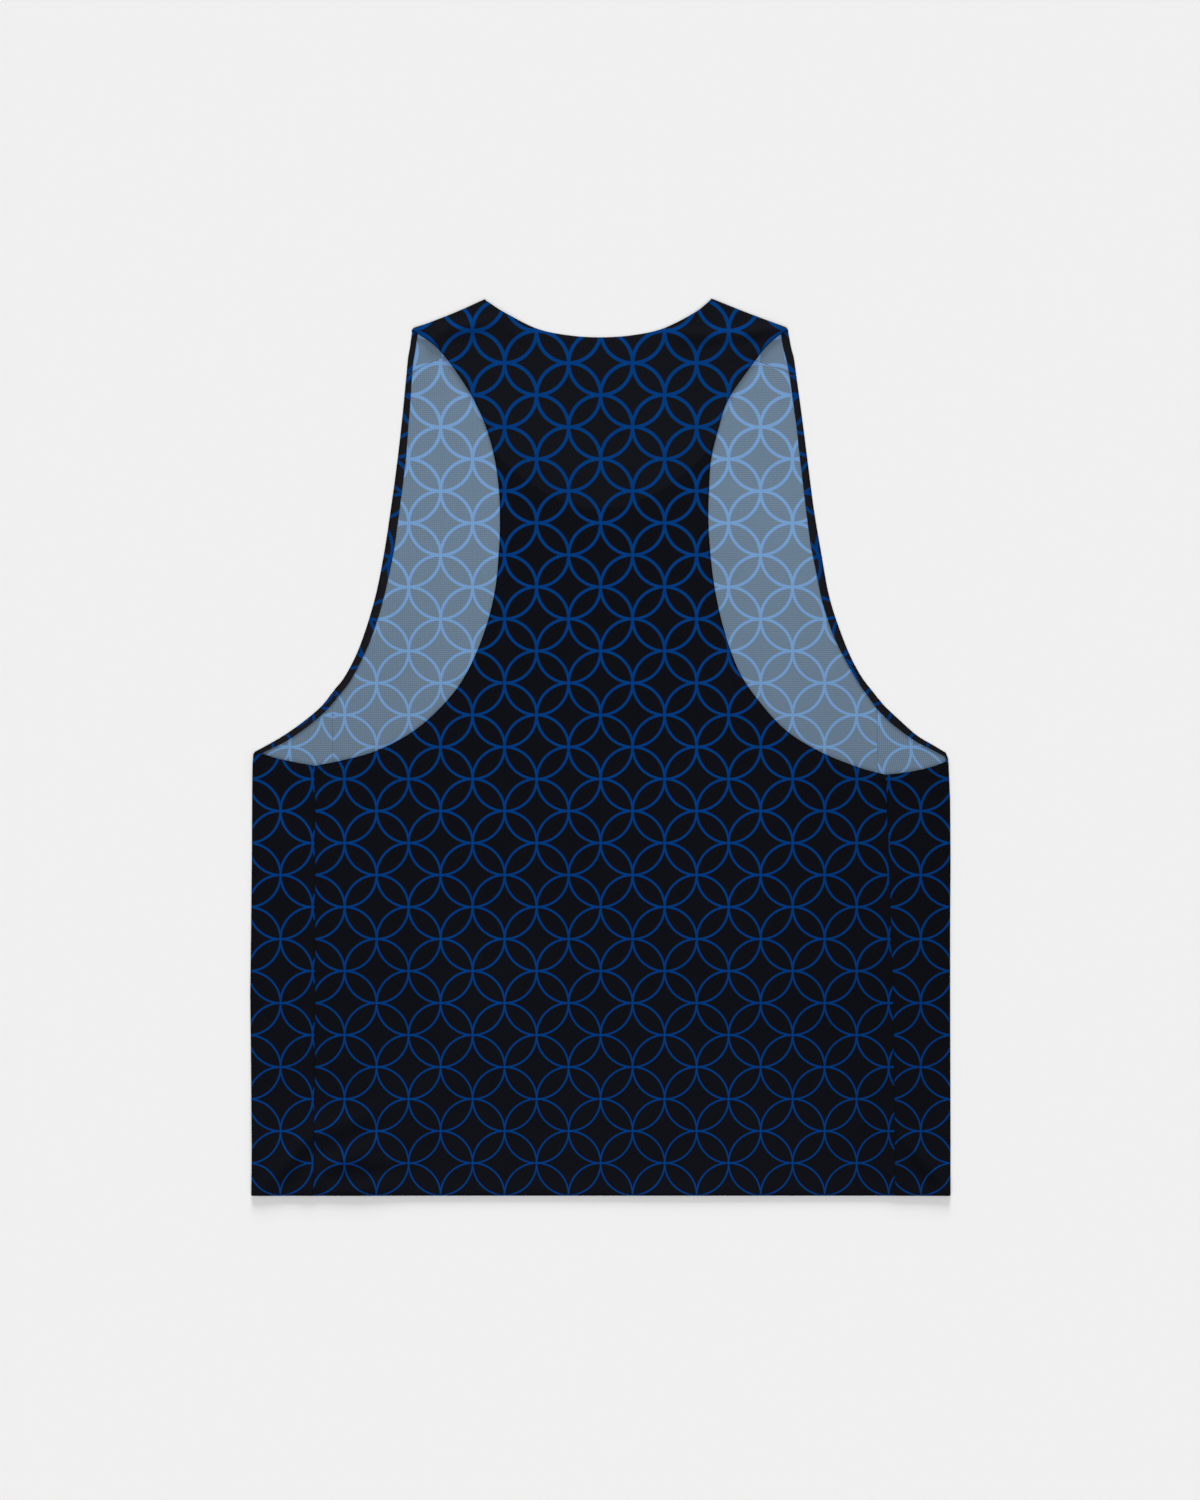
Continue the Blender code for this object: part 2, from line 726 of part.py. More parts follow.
def side_panel(name, left):
    """A side panel: from the front seam round the side fold to the back seam."""
    side = Side(left)
    top_y = BODY[-1][0]
    lower_columns = [side.lower_x(share, top_y) for share in SIDE_LOWER_SHARES]
    upper_columns = [side.upper_x(share, top_y) for share in SIDE_UPPER_SHARES]
    lower_turned = [k < len(lower_columns) - SIDE_LOWER_PLAIN for k in range(len(lower_columns))]
    upper_turned = [k >= SIDE_UPPER_PLAIN for k in range(len(upper_columns))]
    front_side = seam_sides(FRONT_ARMHOLES, SIDE_EDGE_LOWER)[0 if left else 1]
    back_side = seam_sides(BACK_ARMHOLES, SIDE_EDGE_UPPER)[0 if left else 1]
    lower, lower_sides, lower_rim = side_edge(
        side.lower_edge, lower_columns, side.out, lower_turned, 0, front_side
    )
    upper, upper_sides, upper_rim = side_edge(
        side.upper_edge, upper_columns, -side.out, upper_turned, -1, back_side
    )

    def line_at(share):
        """One line of points round the panel, a share of the way up from the hem."""
        lower_y = [HEM_Y + (y - HEM_Y) * share for y in lower_rim]
        upper_y = [HEM_Y + (y - HEM_Y) * share for y in upper_rim]
        row = [on_lower(side.lower_x(s, y), y) for s, y in zip(SIDE_LOWER_SHARES, lower_y)]
        drop = FOLD_CORNER_DROP * smooth(share)
        row += side.fold_row(lower_y[-1], upper_y[0], drop)
        row += [on_upper(side.upper_x(s, y), y) for s, y in zip(SIDE_UPPER_SHARES, upper_y)]
        return row

    height = -HEM_Y
    shares = [up / height for up in SIDE_ROWS_UP]
    shares += [1.0 - BESIDE_EDGE / height, 1.0]
    sheet = Sheet()
    top = sheet.grid([line_at(share) for share in shares])[-1]
    last = len(lower) - SIDE_LOWER_PLAIN
    sheet.turn_in(top[:last], lower_sides[:last], widths_at(lower[:last]))
    first = SIDE_UPPER_PLAIN
    upper_top = top[-len(upper) :]
    sheet.turn_in(upper_top[first:], upper_sides[first:], widths_at(upper[first:]))
    return sheet.wall(name, OUTSIDE_DARK)


def main():
    for old in list(bpy.data.objects):
        bpy.data.objects.remove(old)
    singlet = bpy.data.objects.new("singlet", None)
    bpy.context.scene.collection.objects.link(singlet)
    panels = [
        back_panel(),
        front_panel(),
        side_panel("side_panel_left", True),
        side_panel("side_panel_right", False),
    ]
    for panel in panels:
        panel.parent = singlet


main()
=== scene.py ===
"""The running singlet's looks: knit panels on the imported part, sewing, floor, light, camera.

The singlet lies flat, back up. Every panel is a thin shell, printed outside and pale inside,
and stands for its CAD node. Lengths are millimetres: x to the right, y from hem to neck, z up.
"""

import math
from collections import Counter

import bmesh
import bpy
import numpy as np
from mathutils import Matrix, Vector


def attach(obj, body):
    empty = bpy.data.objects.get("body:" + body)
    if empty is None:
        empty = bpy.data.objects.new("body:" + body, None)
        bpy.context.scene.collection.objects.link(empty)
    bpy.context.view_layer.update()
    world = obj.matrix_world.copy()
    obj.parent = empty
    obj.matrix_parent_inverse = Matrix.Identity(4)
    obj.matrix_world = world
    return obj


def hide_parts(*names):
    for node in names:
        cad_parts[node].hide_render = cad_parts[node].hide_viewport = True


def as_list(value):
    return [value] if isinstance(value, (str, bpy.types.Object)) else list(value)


MM = 0.001

# The cloth, the middles of its lower and upper layers, and half of a seam's gap
CLOTH = 0.6
LOWER, UPPER = 0.3, 1.5
HALF_SEAM = 0.15
HEM_Y = -336.4

# A turned edge is a tight half round and a strip that lies on the inside.
TURN_RADIUS = 0.4
TURN_REACH = TURN_RADIUS + CLOTH / 2
TURN_STEPS, STRIP_STEPS = 6, 3
STRIP_NARROWER = 0.6  # at most, across a side fold

# A strip follows its layer where it faces it at least this squarely.
SQUARE_ON = 0.9

# A side or shoulder fold leaves room for one turned edge between its two layers.
FOLD_RADIUS = 1.3
FOLD_REACH = FOLD_RADIUS + CLOTH / 2
FOLD_STEPS = 8
FOLD_SHARES = [step / FOLD_STEPS for step in range(1, FOLD_STEPS)]
FOLD_LENGTH = math.pi * FOLD_RADIUS

# The upper layer's height along its armhole edges and folds, where it stands higher: y,
# height
EDGE_HEIGHTS = (
    (-60, 2.3), (-20, 3.6), (8, 3.5), (60, 2.3), (130, 2.05), (298, 2.05), (308, 2.3), (316, 2.6),
)
FOLD_HEIGHTS = ((HEM_Y, 2.5), (-300, 2.2), (-40, 2.3), (310, 2.6))
LIFT_FLAT, LIFT_END = 7.5, 55

# A low step in the upper layer where the strip turned under it ends
STEP_AT, STEP_WIDTH, STEP_DROP = 5.8, 1.4, 0.25

# The hem stands up a little, and the cut edges of hem and neckline roll down.
HEM_RISE, HEM_RISE_WIDTH = 0.9, 16
HEM_WAVE, HEM_WAVE_LENGTH = 0.12, 37
ROLL_WIDTH, ROLL_DROP = 1.6, 0.6

# Distances from an armhole edge or seam to the first lines of points inside it
EDGE_STEPS = (1.2, 3, 4.8, 5.8, 6.5, 7.2, 9, 12)
CORNER_EASE = 26
OUTWARD = (-1, 1)
LEVEL = [Vector((out, 0)) for out in OUTWARD]

# Strips of the turned edges: y, width from the fold to the cut end on the left and right
TURN_WIDTHS = (
    (-20, 3, 2.8), (-3, 3.2, 3), (2, 3.9, 3.6), (10, 4.8, 4.4), (22, 4.9, 6), (34, 4.8, 5.7),
    (40, 5.4, 5), (56, 5.2, 4.1), (69, 5.3, 4.7), (85, 6, 6), (125, 6.4, 5.9), (150, 6.9, 6.7),
    (183, 6.5, 5.7), (221, 6.1, 5.4), (241, 5.2, 4.9), (262, 4.8, 5.1), (280, 4.2, 5), (290, 4.3, 5.7),
    (308, 4.4, 5.8),
)

# The body: y, then x of the left back seam, side fold and front seam, and of the right
# front seam, side fold and back seam
BODY = (
    (HEM_Y, -215.4, -262, -201.5, 212, 262.4, 220.6),
    (-300, -214.9, -261.6, -201.5, 211.6, 262.5, 220.5),
    (-220, -214.2, -262.4, -201.4, 210.6, 262.3, 220),
    (-186, -214.1, -262.8, -201.3, 210, 262.2, 219.3),
    (-130, -214.1, -262.1, -201.2, 209.2, 262.2, 217.6),
    (-85, -214.2, -261.6, -201.1, 208.6, 262.5, 216.2),
    (-40, -214.2, -261.4, -201.1, 208.1, 262.2, 214.6),
    (-13.5, -214.2, -261.1, -201.1, 207.6, 261, 212.8),
    (-3, -214.2, -260.2, -201.1, 207.6, 260, 212.8),
)
# Its columns of the left and the right
BACK_SEAM = (1, 6)
SIDE_FOLD = (2, 5)
FRONT_SEAM = (3, 4)

# Armhole sections of the back, from the top of its side seams to the shoulder folds:
# left x, left y, y on the middle line, right x, right y
BACK_ARMHOLES = (
    (-214.2, -14, -40, 213.3, -20.7), (-194.7, -10.2, -28, 193, -15.1), (-168.5, -2.9, -12, 165, -3.7),
    (-139.6, 12.4, 8, 139.3, 12.2), (-114.9, 35.1, 32, 118.3, 35), (-99.3, 57.7, 56, 103.4, 57.6),
    (-86.7, 87.8, 86, 92.6, 87.8), (-79.2, 117.8, 116, 85.8, 117.8), (-76.2, 147.8, 145, 82.1, 147.8),
    (-75.5, 170.3, 168, 80.8, 172), (-76.2, 192.8, 188, 81.3, 192.8), (-79.2, 215.3, 208, 82.8, 215.3),
    (-85.2, 237.8, 228, 88.1, 237.8), (-95, 260.3, 249, 95.6, 260.3), (-109.2, 282.8, 271, 111.3, 283.5),
    (-121.2, 297.8, 288, 122.6, 298.3), (-130.2, 305.3, 299, 131.5, 306.9),
    (-140.7, 312.2, 307.6, 139.7, 312.4),
)

# Armhole sections of the front, from the top of its side seams to the shoulder seams
FRONT_ARMHOLES = (
    (-201.1, 41.2, 10, 207.7, 37.2), (-191.2, 54, 20, 194.9, 54), (-180.3, 76.5, 38, 183.8, 76.5),
    (-169.6, 110.3, 60, 172.2, 110.3), (-162.7, 144, 84, 165.8, 144), (-157.5, 177.8, 108, 160.1, 177.8),
    (-152.9, 211.5, 132, 155.7, 211.5), (-149, 245.3, 156, 151.4, 245.3),
    (-145.6, 280.2, 179, 146.8, 279.1),
)

# Armhole edges of the side panels, from the seam to the side fold: left x, left y,
# right x, right y
SIDE_EDGE_LOWER = (
    (-201.1, 41.2, 207.7, 37.2), (-208.8, 31.2, 213, 30.8), (-221.7, 20, 224.9, 19.6),
    (-237.6, 8.7, 237.8, 8.3), (-249.8, 1.6, 249, 1.7), (-258.9, -3.3, 258.6, -4.1),
)
SIDE_EDGE_UPPER = (
    (-214.2, -14, 213.3, -20.7), (-224, -12.3, 225, -19.4), (-234.5, -10.2, 237.3, -17.4),
    (-244.2, -8, 249, -14.3), (-251, -5.7, 255, -12.1), (-258.9, -4.4, 258.6, -10.6),
)

# Shoulder folds and back neckline, left to right
SHOULDER_LEFT = ((-141.2, 313.7), (-126.8, 318.9), (-106.2, 327.2), (-86.4, 336.1))
SHOULDER_RIGHT = ((82.8, 336.6), (104.1, 328), (126.7, 319.4), (140.6, 314.1))
BACK_NECK = (
    (-85.9, 334.8), (-71.7, 325.7), (-47.7, 313.8), (-24, 308.8), (0, 307.3), (24, 308.9), (46.8, 313.9),
    (70, 325.5), (82.2, 334.9),
)

# The back's end on the front side, in sections from the shoulder fold to the shoulder
# seam: x, y at the armhole, then x, y at the neck
YOKE_LEFT = (
    (-141.5, 310.9, -86.4, 333.6), (-142.2, 306, -87.2, 329.1), (-143.1, 299.5, -87.7, 323.5),
    (-144.3, 293, -87.9, 318), (-145, 286.6, -87.8, 312.4), (-145.6, 280.2, -87.4, 306.9),
)
YOKE_RIGHT = (
    (140.9, 311.2, 82.5, 333.6), (141.8, 305.8, 83.3, 328.1), (143.1, 299.1, 83.9, 321.5),
    (144.9, 292.4, 84.2, 315), (145.9, 285.8, 84.5, 308.4), (146.8, 279.1, 84.6, 301.9),
)

# The front's neckline, which shows through the back as the edge of a darker area
FRONT_NECK = (
    (-87.4, 306.9), (-88.4, 285), (-87.5, 262), (-83.5, 238), (-73, 216), (-54, 200), (-28, 186.5),
    (0, 179), (27, 184), (51, 194.5), (71.5, 213), (81.8, 236), (86, 261), (86.2, 282), (84.6, 301.9),
)

# Lines of points across the left strap, the neck and the right strap, and up the body
BACK_COLUMNS = (24, 62, 24)
FRONT_COLUMNS = (16, 56, 16)
HEM_ROWS = (0, 0.6, 1.3, 2.3, 4.5, 8)
ROW_STEP = 4
BACK_BODY_TOP, FRONT_BODY_TOP = 303, 356
ARMHOLE_STEPS = 5
CORNER_ROWS = (0.3, 0.6, 0.85)
NECK_ROWS = (0.4, 0.65, 0.85)
YOKE_STEPS = 3
EDGE_SPACING = 0.45
LINE_STEPS = 4

# Heights on the middle line above which a panel's lines of points take on its top line
BACK_BLEND_FROM, FRONT_BLEND_FROM = 130, 20

# Columns of points on each layer of a side panel
SIDE_COLUMNS = 16
SIDE_SHARES = [k / SIDE_COLUMNS for k in range(SIDE_COLUMNS + 1)]
FOLD_CORNER_DROP = 0.8

# The shoulder folds grow thinner towards the armhole, and the cloth drifts that way.
FOLD_THIN, FOLD_THIN_LENGTH = 0.35, 1.8
FOLD_DRIFT = 1.2

# Painted shade darkens the outer face at every edge and fold, where the cloth turns away from the light.
RIM_WIDTH = 1.5

# Soft creases of the upper layer: x, y, direction in degrees, half length, half width,
# height. The lower layer takes a share of each.
CREASES = (
    (-233, -309, 51, 28, 6, 4.6), (-190, -282.5, 20, 30, 7, 3),
    (-188, -306.5, 25, 27, 5.2, 3), (-176, -311, 3, 24, 5.5, 2.4),
    (-216, -331, 45, 13, 5, 2.4), (-181, -332, 4, 28, 5, 3),
    (241.5, -310.5, 131, 27, 4.4, 3.2), (221, -325, 118, 20, 7, 1.2),
    (-262, -295, 84, 36, 8, 1.5), (-100, 315, 12, 24, 5.5, 2.8),
    (-128, 302, 38, 12, 5, 1.4), (-64, 311, -25, 14, 5, 1.3),
    (75, 309, 0, 20, 5, 2.8), (115, 311, 10, 18, 4.5, 2.8),
    (106, 297, 12, 22, 6, 1), (131.5, 314.5, 112, 3, 1.3, -0.5),
    (-236, -20, 82, 18, 6, 0.5), (238, -34, 98, 20, 6, 0.6),
)
LOWER_CREASE_SHARE = 0.4

# Creases are lower by this share at the hem, and grow to their height above it.
HEM_EASE, HEM_EASE_LENGTH = 0.6, 12

# Soft creases of the cloth that lies on the floor, the same columns
FLOOR_CREASES = (
    (-120, -250, 62, 70, 9, 0.45), (95, -180, 108, 85, 10, 0.4),
    (20, -300, 12, 60, 8, 0.4), (-60, 150, 75, 60, 9, 0.35),
)

SLOPE_STEP = 0.4
SHARP_ANGLE = math.radians(40)

# Panels: CAD node, slot, what it rests on, how far its print is moved to break at the
# seams, then the flat cut's width, length and area in metres
PANELS = {
    "front_shell": ("front_panel", "knit_inside", "floor", 0, 0.4178, 0.6432, 0.2235),
    "side_shell_left": ("side_panel_left", "printed_knit", "floor", 24, 0.1107, 0.3799, 0.0375),
    "side_shell_right": ("side_panel_right", "printed_knit", "floor", 24, 0.1036, 0.3760, 0.0330),
    "back_shell": ("back_panel", "printed_knit", "front_shell", 0, 0.4357, 0.6981, 0.2149),
}


def between(a, b, share):
    """The point a share of the way from a to b."""
    return tuple(p + (q - p) * share for p, q in zip(a, b))


def smooth(value):
    """0 below 0, 1 above 1 and an S curve between."""
    held = np.clip(value, 0, 1)
    return held * held * (3 - 2 * held)


def fading(distance, width):
    """1 at distance 0, easing to 0 at this width."""
    return 1 - smooth(distance / width)


def look_up(table, key, column):
    """A table's column at key, its first column, read along straight lines."""
    for row, after in zip(table, table[1:]):
        if key <= after[0]:
            break
    share = min(max((key - row[0]) / (after[0] - row[0]), 0), 1)
    return row[column] + (after[column] - row[column]) * share


def curve(rows, share):
    """The smooth curve through a table's rows, from 0 at the first to 1 at the last."""
    place = share * (len(rows) - 1)
    i = min(int(place), len(rows) - 2)
    t = place - i
    a, b = rows[i], rows[i + 1]
    before = rows[i - 1] if i else between(b, a, 2)
    after = rows[i + 2] if i + 2 < len(rows) else between(a, b, 2)
    bend = []
    for p, q, r, s in zip(before, a, b, after):
        cubic = (3 * (q - r) + s - p) * t + 2 * p - 5 * q + 4 * r - s
        bend.append(q + 0.5 * t * (r - p + t * cubic))
    return tuple(bend)


def sample(rows, steps):
    """Points on the curve through rows, with this many steps from each row to the next."""
    count = (len(rows) - 1) * steps
    return [curve(rows, i / count) for i in range(count + 1)]


def away(path, turn):
    """Plan directions square to a path, on its left with turn 1 and its right with -1."""
    directions = []
    for i in range(len(path)):
        here = Vector(path[max(i - 1, 0)])
        there = Vector(path[min(i + 1, len(path) - 1)])
        along = (there - here).normalized()
        directions.append(Vector((-along.y, along.x)) * turn)
    return directions


def edge_lines(table):
    """The left and right edge lines of a table, as arrays of plan points."""
    rows = np.array(sample(table, LINE_STEPS))
    return [rows[:, :2], rows[:, -2:]]


HEM_LINE = np.array([(-280, HEM_Y), (280, HEM_Y)])
PLAIN_EDGES = [HEM_LINE, np.array(sample(BACK_NECK, LINE_STEPS))]
ARMHOLE_LINES = edge_lines(BACK_ARMHOLES) + edge_lines(SIDE_EDGE_UPPER)
LOWER_LINES = edge_lines(FRONT_ARMHOLES) + edge_lines(SIDE_EDGE_LOWER)
FOLD_LINES = [np.array([(row[k], row[0]) for row in BODY]) for k in SIDE_FOLD]
FOLD_LINES += [np.array(SHOULDER_LEFT), np.array(SHOULDER_RIGHT)]
OUTLINES = ARMHOLE_LINES + FOLD_LINES + PLAIN_EDGES + LOWER_LINES


def distance_to(lines, xy):
    """Plan distance from each point to the nearest of some lines."""
    nearest = np.full(len(xy), np.inf)
    for line in lines:
        for a, b in zip(line, line[1:]):
            side = b - a
            share = np.clip((xy - a) @ side / (side @ side), 0, 1)
            gap = np.linalg.norm(xy - a - share[:, None] * side, axis=1)
            nearest = np.minimum(nearest, gap)
    return nearest


def crease_height(creases, xy):
    """How much a table's creases raise the cloth at each point."""
    height = np.zeros(len(xy))
    for centre_x, centre_y, degrees, length, width, rise in creases:
        turn = math.radians(degrees)
        right, up = xy[:, 0] - centre_x, xy[:, 1] - centre_y
        along = (right * math.cos(turn) + up * math.sin(turn)) / length
        across = (up * math.cos(turn) - right * math.sin(turn)) / width
        height += rise * np.exp(-along * along - across * across)
    return height


def lower_height(xy):
    """Height of the middle of the lower layer at each plan point."""
    raised = LOWER_CREASE_SHARE * np.maximum(crease_height(CREASES, xy), 0)
    return LOWER + raised + crease_height(FLOOR_CREASES, xy)


def nearness(distance):
    """1 at a line, easing to 0 away from it."""
    return smooth((LIFT_END - distance) / (LIFT_END - LIFT_FLAT))


def lift_by(heights, distance, xy):
    """How much a table of heights lifts the upper layer, by the distance to its lines."""
    ys, tops = zip(*heights)
    return nearness(distance) * (np.interp(xy[:, 1], ys, tops) - UPPER)


def upper_height(xy):
    """Height of the middle of the upper layer at each plan point."""
    to_armhole = distance_to(ARMHOLE_LINES, xy)
    by_armhole = lift_by(EDGE_HEIGHTS, to_armhole, xy)
    by_fold = lift_by(FOLD_HEIGHTS, distance_to(FOLD_LINES, xy), xy)
    lift = (by_armhole**4 + by_fold**4) ** 0.25
    step = STEP_DROP * smooth((to_armhole - STEP_AT) / STEP_WIDTH) * nearness(to_armhole)
    roll = ROLL_DROP * fading(distance_to(PLAIN_EDGES, xy), ROLL_WIDTH)
    above_hem = xy[:, 1] - HEM_Y
    wave = 1 + HEM_WAVE * np.sin(xy[:, 0] / HEM_WAVE_LENGTH)
    rise = HEM_RISE * wave * fading(above_hem, HEM_RISE_WIDTH)
    eased = 1 - HEM_EASE * fading(above_hem, HEM_EASE_LENGTH)
    creases = crease_height(CREASES, xy) * eased + crease_height(FLOOR_CREASES, xy)
    return UPPER + lift - step - roll + rise + creases


def on_layer(rows, height_at, up, flat_at):
    """Rows of (point, outward direction, flat place) on a layer, from rows of plan points."""
    xy = np.array([tuple(point) for row in rows for point in row])
    z = height_at(xy)
    slope_x = (height_at(xy + (SLOPE_STEP, 0)) - z) / SLOPE_STEP
    slope_y = (height_at(xy + (0, SLOPE_STEP)) - z) / SLOPE_STEP
    placed, i = [], 0
    for row in rows:
        line = []
        for point in row:
            outward = Vector((-slope_x[i], -slope_y[i], 1)).normalized() * up
            line.append((Vector((*xy[i], z[i])), outward, flat_at(point)))
            i += 1
        placed.append(line)
    return placed


def on_upper(rows, flat_at=Vector):
    return on_layer(rows, upper_height, 1, flat_at)


def on_lower(rows, flat_at=Vector):
    return on_layer(rows, lower_height, -1, flat_at)


def plan_of(points):
    """Plan places of points, as an array."""
    return np.array([point.to_2d()[:] for point in points])


def layer_rise(starts, ends, outwards):
    """How much the layer over or under a turned strip rises from its start to its end."""
    start_xy, end_xy = plan_of(starts), plan_of(ends)
    up = np.array([outward.z for outward in outwards])
    upper = upper_height(end_xy) - upper_height(start_xy)
    lower = lower_height(end_xy) - lower_height(start_xy)
    return np.where(up < -SQUARE_ON, upper, 0) + np.where(up > SQUARE_ON, lower, 0)


def in_scene(name, data):
    """A new object in the scene from a mesh, light or camera."""
    made = bpy.data.objects.new(name, data)
    bpy.context.scene.collection.objects.link(made)
    return made


def face_out(mesh):
    """Turns all faces outward and shades them smooth."""
    shape = bmesh.new()
    shape.from_mesh(mesh)
    bmesh.ops.recalc_face_normals(shape, faces=shape.faces)
    shape.to_mesh(mesh)
    shape.free()
    mesh.shade_smooth()


class Sheet:
    """A panel's middle surface: (point, outward direction, flat place) sets and quads."""

    def __init__(self):
        self.places = []
        self.quads = []
        self.strips = set()

    def extend(self, line, placed):
        """Adds a line of sets, with quads between it and the last line."""
        first = len(self.places)
        self.places += placed
        new = list(range(first, len(self.places)))
        for k in range(len(line) - 1):
            self.quads.append((line[k], line[k + 1], new[k + 1], new[k]))
        return new

    def grid(self, lines):
        """Adds lines of sets as one grid."""
        numbers = [[]]
        for line in lines:
            numbers.append(self.extend(numbers[-1], line))
        return numbers[1:]

    def turn_in(self, edge, keep=None):
        """Turns the cloth inward along an edge: a half round, then a strip along the layer.

        edge holds the number of each point, the direction away from the panel there, in
        plan and on the flat cut, and the strip's width. keep moves the strip's points.
        """
        rim, sides, flat_sides, widths = zip(*edge)
        line = rim
        for step in range(1, TURN_STEPS + 1):
            angle = math.pi * step / TURN_STEPS
            placed = []
            for number, side, flat_side in zip(rim, sides, flat_sides):
                point, up, flat = self.places[number]
                out = side.to_3d()
                up = (up - out * up.dot(out)).normalized()
                direction = out * math.sin(angle) + up * math.cos(angle)
                place = point - up * TURN_RADIUS + direction * TURN_RADIUS
                placed.append((place, direction, flat + flat_side * (TURN_RADIUS * angle)))
            line = self.extend(line, placed)
        starts, outwards, flats = zip(*(self.places[number] for number in line))
        self.strips.update(line)
        for step in range(1, STRIP_STEPS + 1):
            lengths = [(width - TURN_REACH) * step / STRIP_STEPS for width in widths]
            places = [p - side.to_3d() * a for p, side, a in zip(starts, sides, lengths)]
            if keep:
                places = [keep(start, place) for start, place in zip(starts, places)]
            for place, rise in zip(places, layer_rise(starts, places, outwards)):
                place.z += rise
            flat = [f + side * a for f, side, a in zip(flats, flat_sides, lengths)]
            line = self.extend(line, zip(places, outwards, flat))
            self.strips.update(line)

    def cut_edges(self):
        """The edges that only one quad has: where the cloth is cut."""
        uses = Counter()
        for quad in self.quads:
            uses.update(tuple(sorted(edge)) for edge in zip(quad, quad[1:] + quad[:1]))
        return [edge for edge, number in uses.items() if number == 1]

    def shell(self, name, shift):
        """Makes the sheet a thin closed shell: printed outside, pale inside."""
        count = len(self.places)
        quads = len(self.quads)
        points, outwards, flats = zip(*self.places)
        outer = [p + n * (CLOTH / 2) for p, n in zip(points, outwards)]
        inner = [p - n * (CLOTH / 2) for p, n in zip(points, outwards)]
        faces = self.quads + [tuple(i + count for i in quad) for quad in self.quads]
        faces += [(a, b, b + count, a + count) for a, b in self.cut_edges()]
        mesh = bpy.data.meshes.new(name)
        mesh.from_pydata([p * MM for p in outer + inner], [], faces)
        mesh.materials.append(MATERIALS["printed_knit"])
        mesh.materials.append(MATERIALS["knit_inside"])
        sides = [0] * quads + [1] * quads + [0] * (len(faces) - 2 * quads)
        mesh.polygons.foreach_set("material_index", sides)
        places = mesh.uv_layers.new(name="cloth")
        for loop in mesh.loops:
            flat = flats[loop.vertex_index % count]
            places.data[loop.index].uv = ((flat.x + shift) * MM, flat.y * MM)
        # Nearness to the outlines, for the painted shade at the outer face's edges and folds
        rim = fading(distance_to(OUTLINES, plan_of(points)), RIM_WIDTH)
        strip = [float(number in self.strips) for number in range(count)]
        for key, values in (("rim", rim), ("strip", strip)):
            stored = mesh.attributes.new(key, "FLOAT", "POINT")
            stored.data.foreach_set("value", np.tile(values, 2))
        face_out(mesh)
        mesh.set_sharp_from_angle(angle=SHARP_ANGLE)
        return in_scene(name, mesh)


def dense_at_edge(share):
    """A share of the way from armhole to neck, denser at the armhole."""
    return share * (EDGE_SPACING + (1 - EDGE_SPACING) * share)


def top_line(left_line, neck_line, right_line, columns):
    """The top line of a panel: left strap end, neckline, right strap end."""
    left, neck, right = columns
    top = [left_line(dense_at_edge(k / left)) for k in range(left + 1)]
    top += [Vector(curve(neck_line, k / neck)) for k in range(1, neck)]
    top += [right_line(1 - dense_at_edge(1 - k / right)) for k in range(right + 1)]
    return top


def end_of(section, end):
    """The left (0) or right (1) end of a section."""
    return Vector(section[3 * end : 3 * end + 2])


def across(section, sides, columns):
    """Plan points across a panel: some step in against the sides of a section's ends, the
    others spread between them and bow to its height on the middle line.
    """
    edges = []
    for end, side in enumerate(sides):
        corner = end_of(section, end)
        edges.append([corner] + [corner - side * step for step in EDGE_STEPS])
    start, stop = edges[0][-1], edges[1][-1]
    count = sum(columns) - 2 * len(EDGE_STEPS)
    bow = section[2] - (start.y + stop.y) / 2
    points = edges[0]
    for k in range(1, count):
        share = k / count
        points.append(start.lerp(stop, share) + Vector((0, bow * 4 * share * (1 - share))))
    return points + edges[1][::-1]


def steps_in(armholes, sides):
    """Directions against which the points next to the ends of armhole sections step in.

    At a seam they halve its corner with the armhole edge, then turn square to the edge.
    """
    steps = []
    for end, level in enumerate(LEVEL):
        corner = sides[0][end]
        halfway = (level + corner) / (1 + level.dot(corner))
        start = end_of(armholes[0], end)
        line = []
        for row, pair in zip(armholes, sides):
            share = min((end_of(row, end) - start).length / CORNER_EASE, 1)
            line.append(halfway.lerp(pair[end], share))
        steps.append(line)
    return list(zip(*steps))


def panel_plan(body, armholes, sides, top, columns, blend_from):
    """Plan points of a whole panel, whose sections take on the top line's form by degrees
    above the height blend_from on the middle line.
    """
    sections = body + armholes
    steps = [LEVEL] * len(body) + steps_in(armholes, sides)
    plan = [across(section, pair, columns) for section, pair in zip(sections, steps)]
    last = armholes[-1][2]
    shifts = [end - point for end, point in zip(top, plan[-1])]
    for section, line in zip(sections, plan):
        weight = smooth((section[2] - blend_from) / (last - blend_from))
        for k, shift in enumerate(shifts):
            line[k] = line[k] + shift * weight
    corner = len(body)
    below, above = plan[corner - 1], plan[corner]
    plan[corner:corner] = [
        [a.lerp(b, share) for a, b in zip(below, above)] for share in CORNER_ROWS
    ]
    return plan


def rows_up(top):
    """Heights above the hem of the lines of points up to the top one."""
    start = HEM_ROWS[-1]
    count = round((top - start) / ROW_STEP)
    return list(HEM_ROWS) + [start + (top - start) / count * k for k in range(1, count + 1)]


def body_sections(top, seams, corner):
    """Sections of the body below the armholes, up to a height above the hem."""
    corner_ys = (corner[1], corner[2], corner[4])
    sections = []
    for up in rows_up(top):
        share = up / (corner[1] - HEM_Y)
        left_y, middle_y, right_y = (HEM_Y + share * (y - HEM_Y) for y in corner_ys)
        left_x = look_up(BODY, left_y, seams[0]) + HALF_SEAM
        right_x = look_up(BODY, right_y, seams[1]) - HALF_SEAM
        sections.append((left_x, left_y, middle_y, right_x, right_y))
    return sections


def seam_sides(armholes, side_edge):
    """Plan directions out of the armhole edge at the side seams, shared by both panels."""
    left = [side_edge[1][:2], armholes[1][:2]]
    right = [side_edge[1][2:], armholes[1][3:]]
    return away(left, 1)[0], away(right, -1)[0]


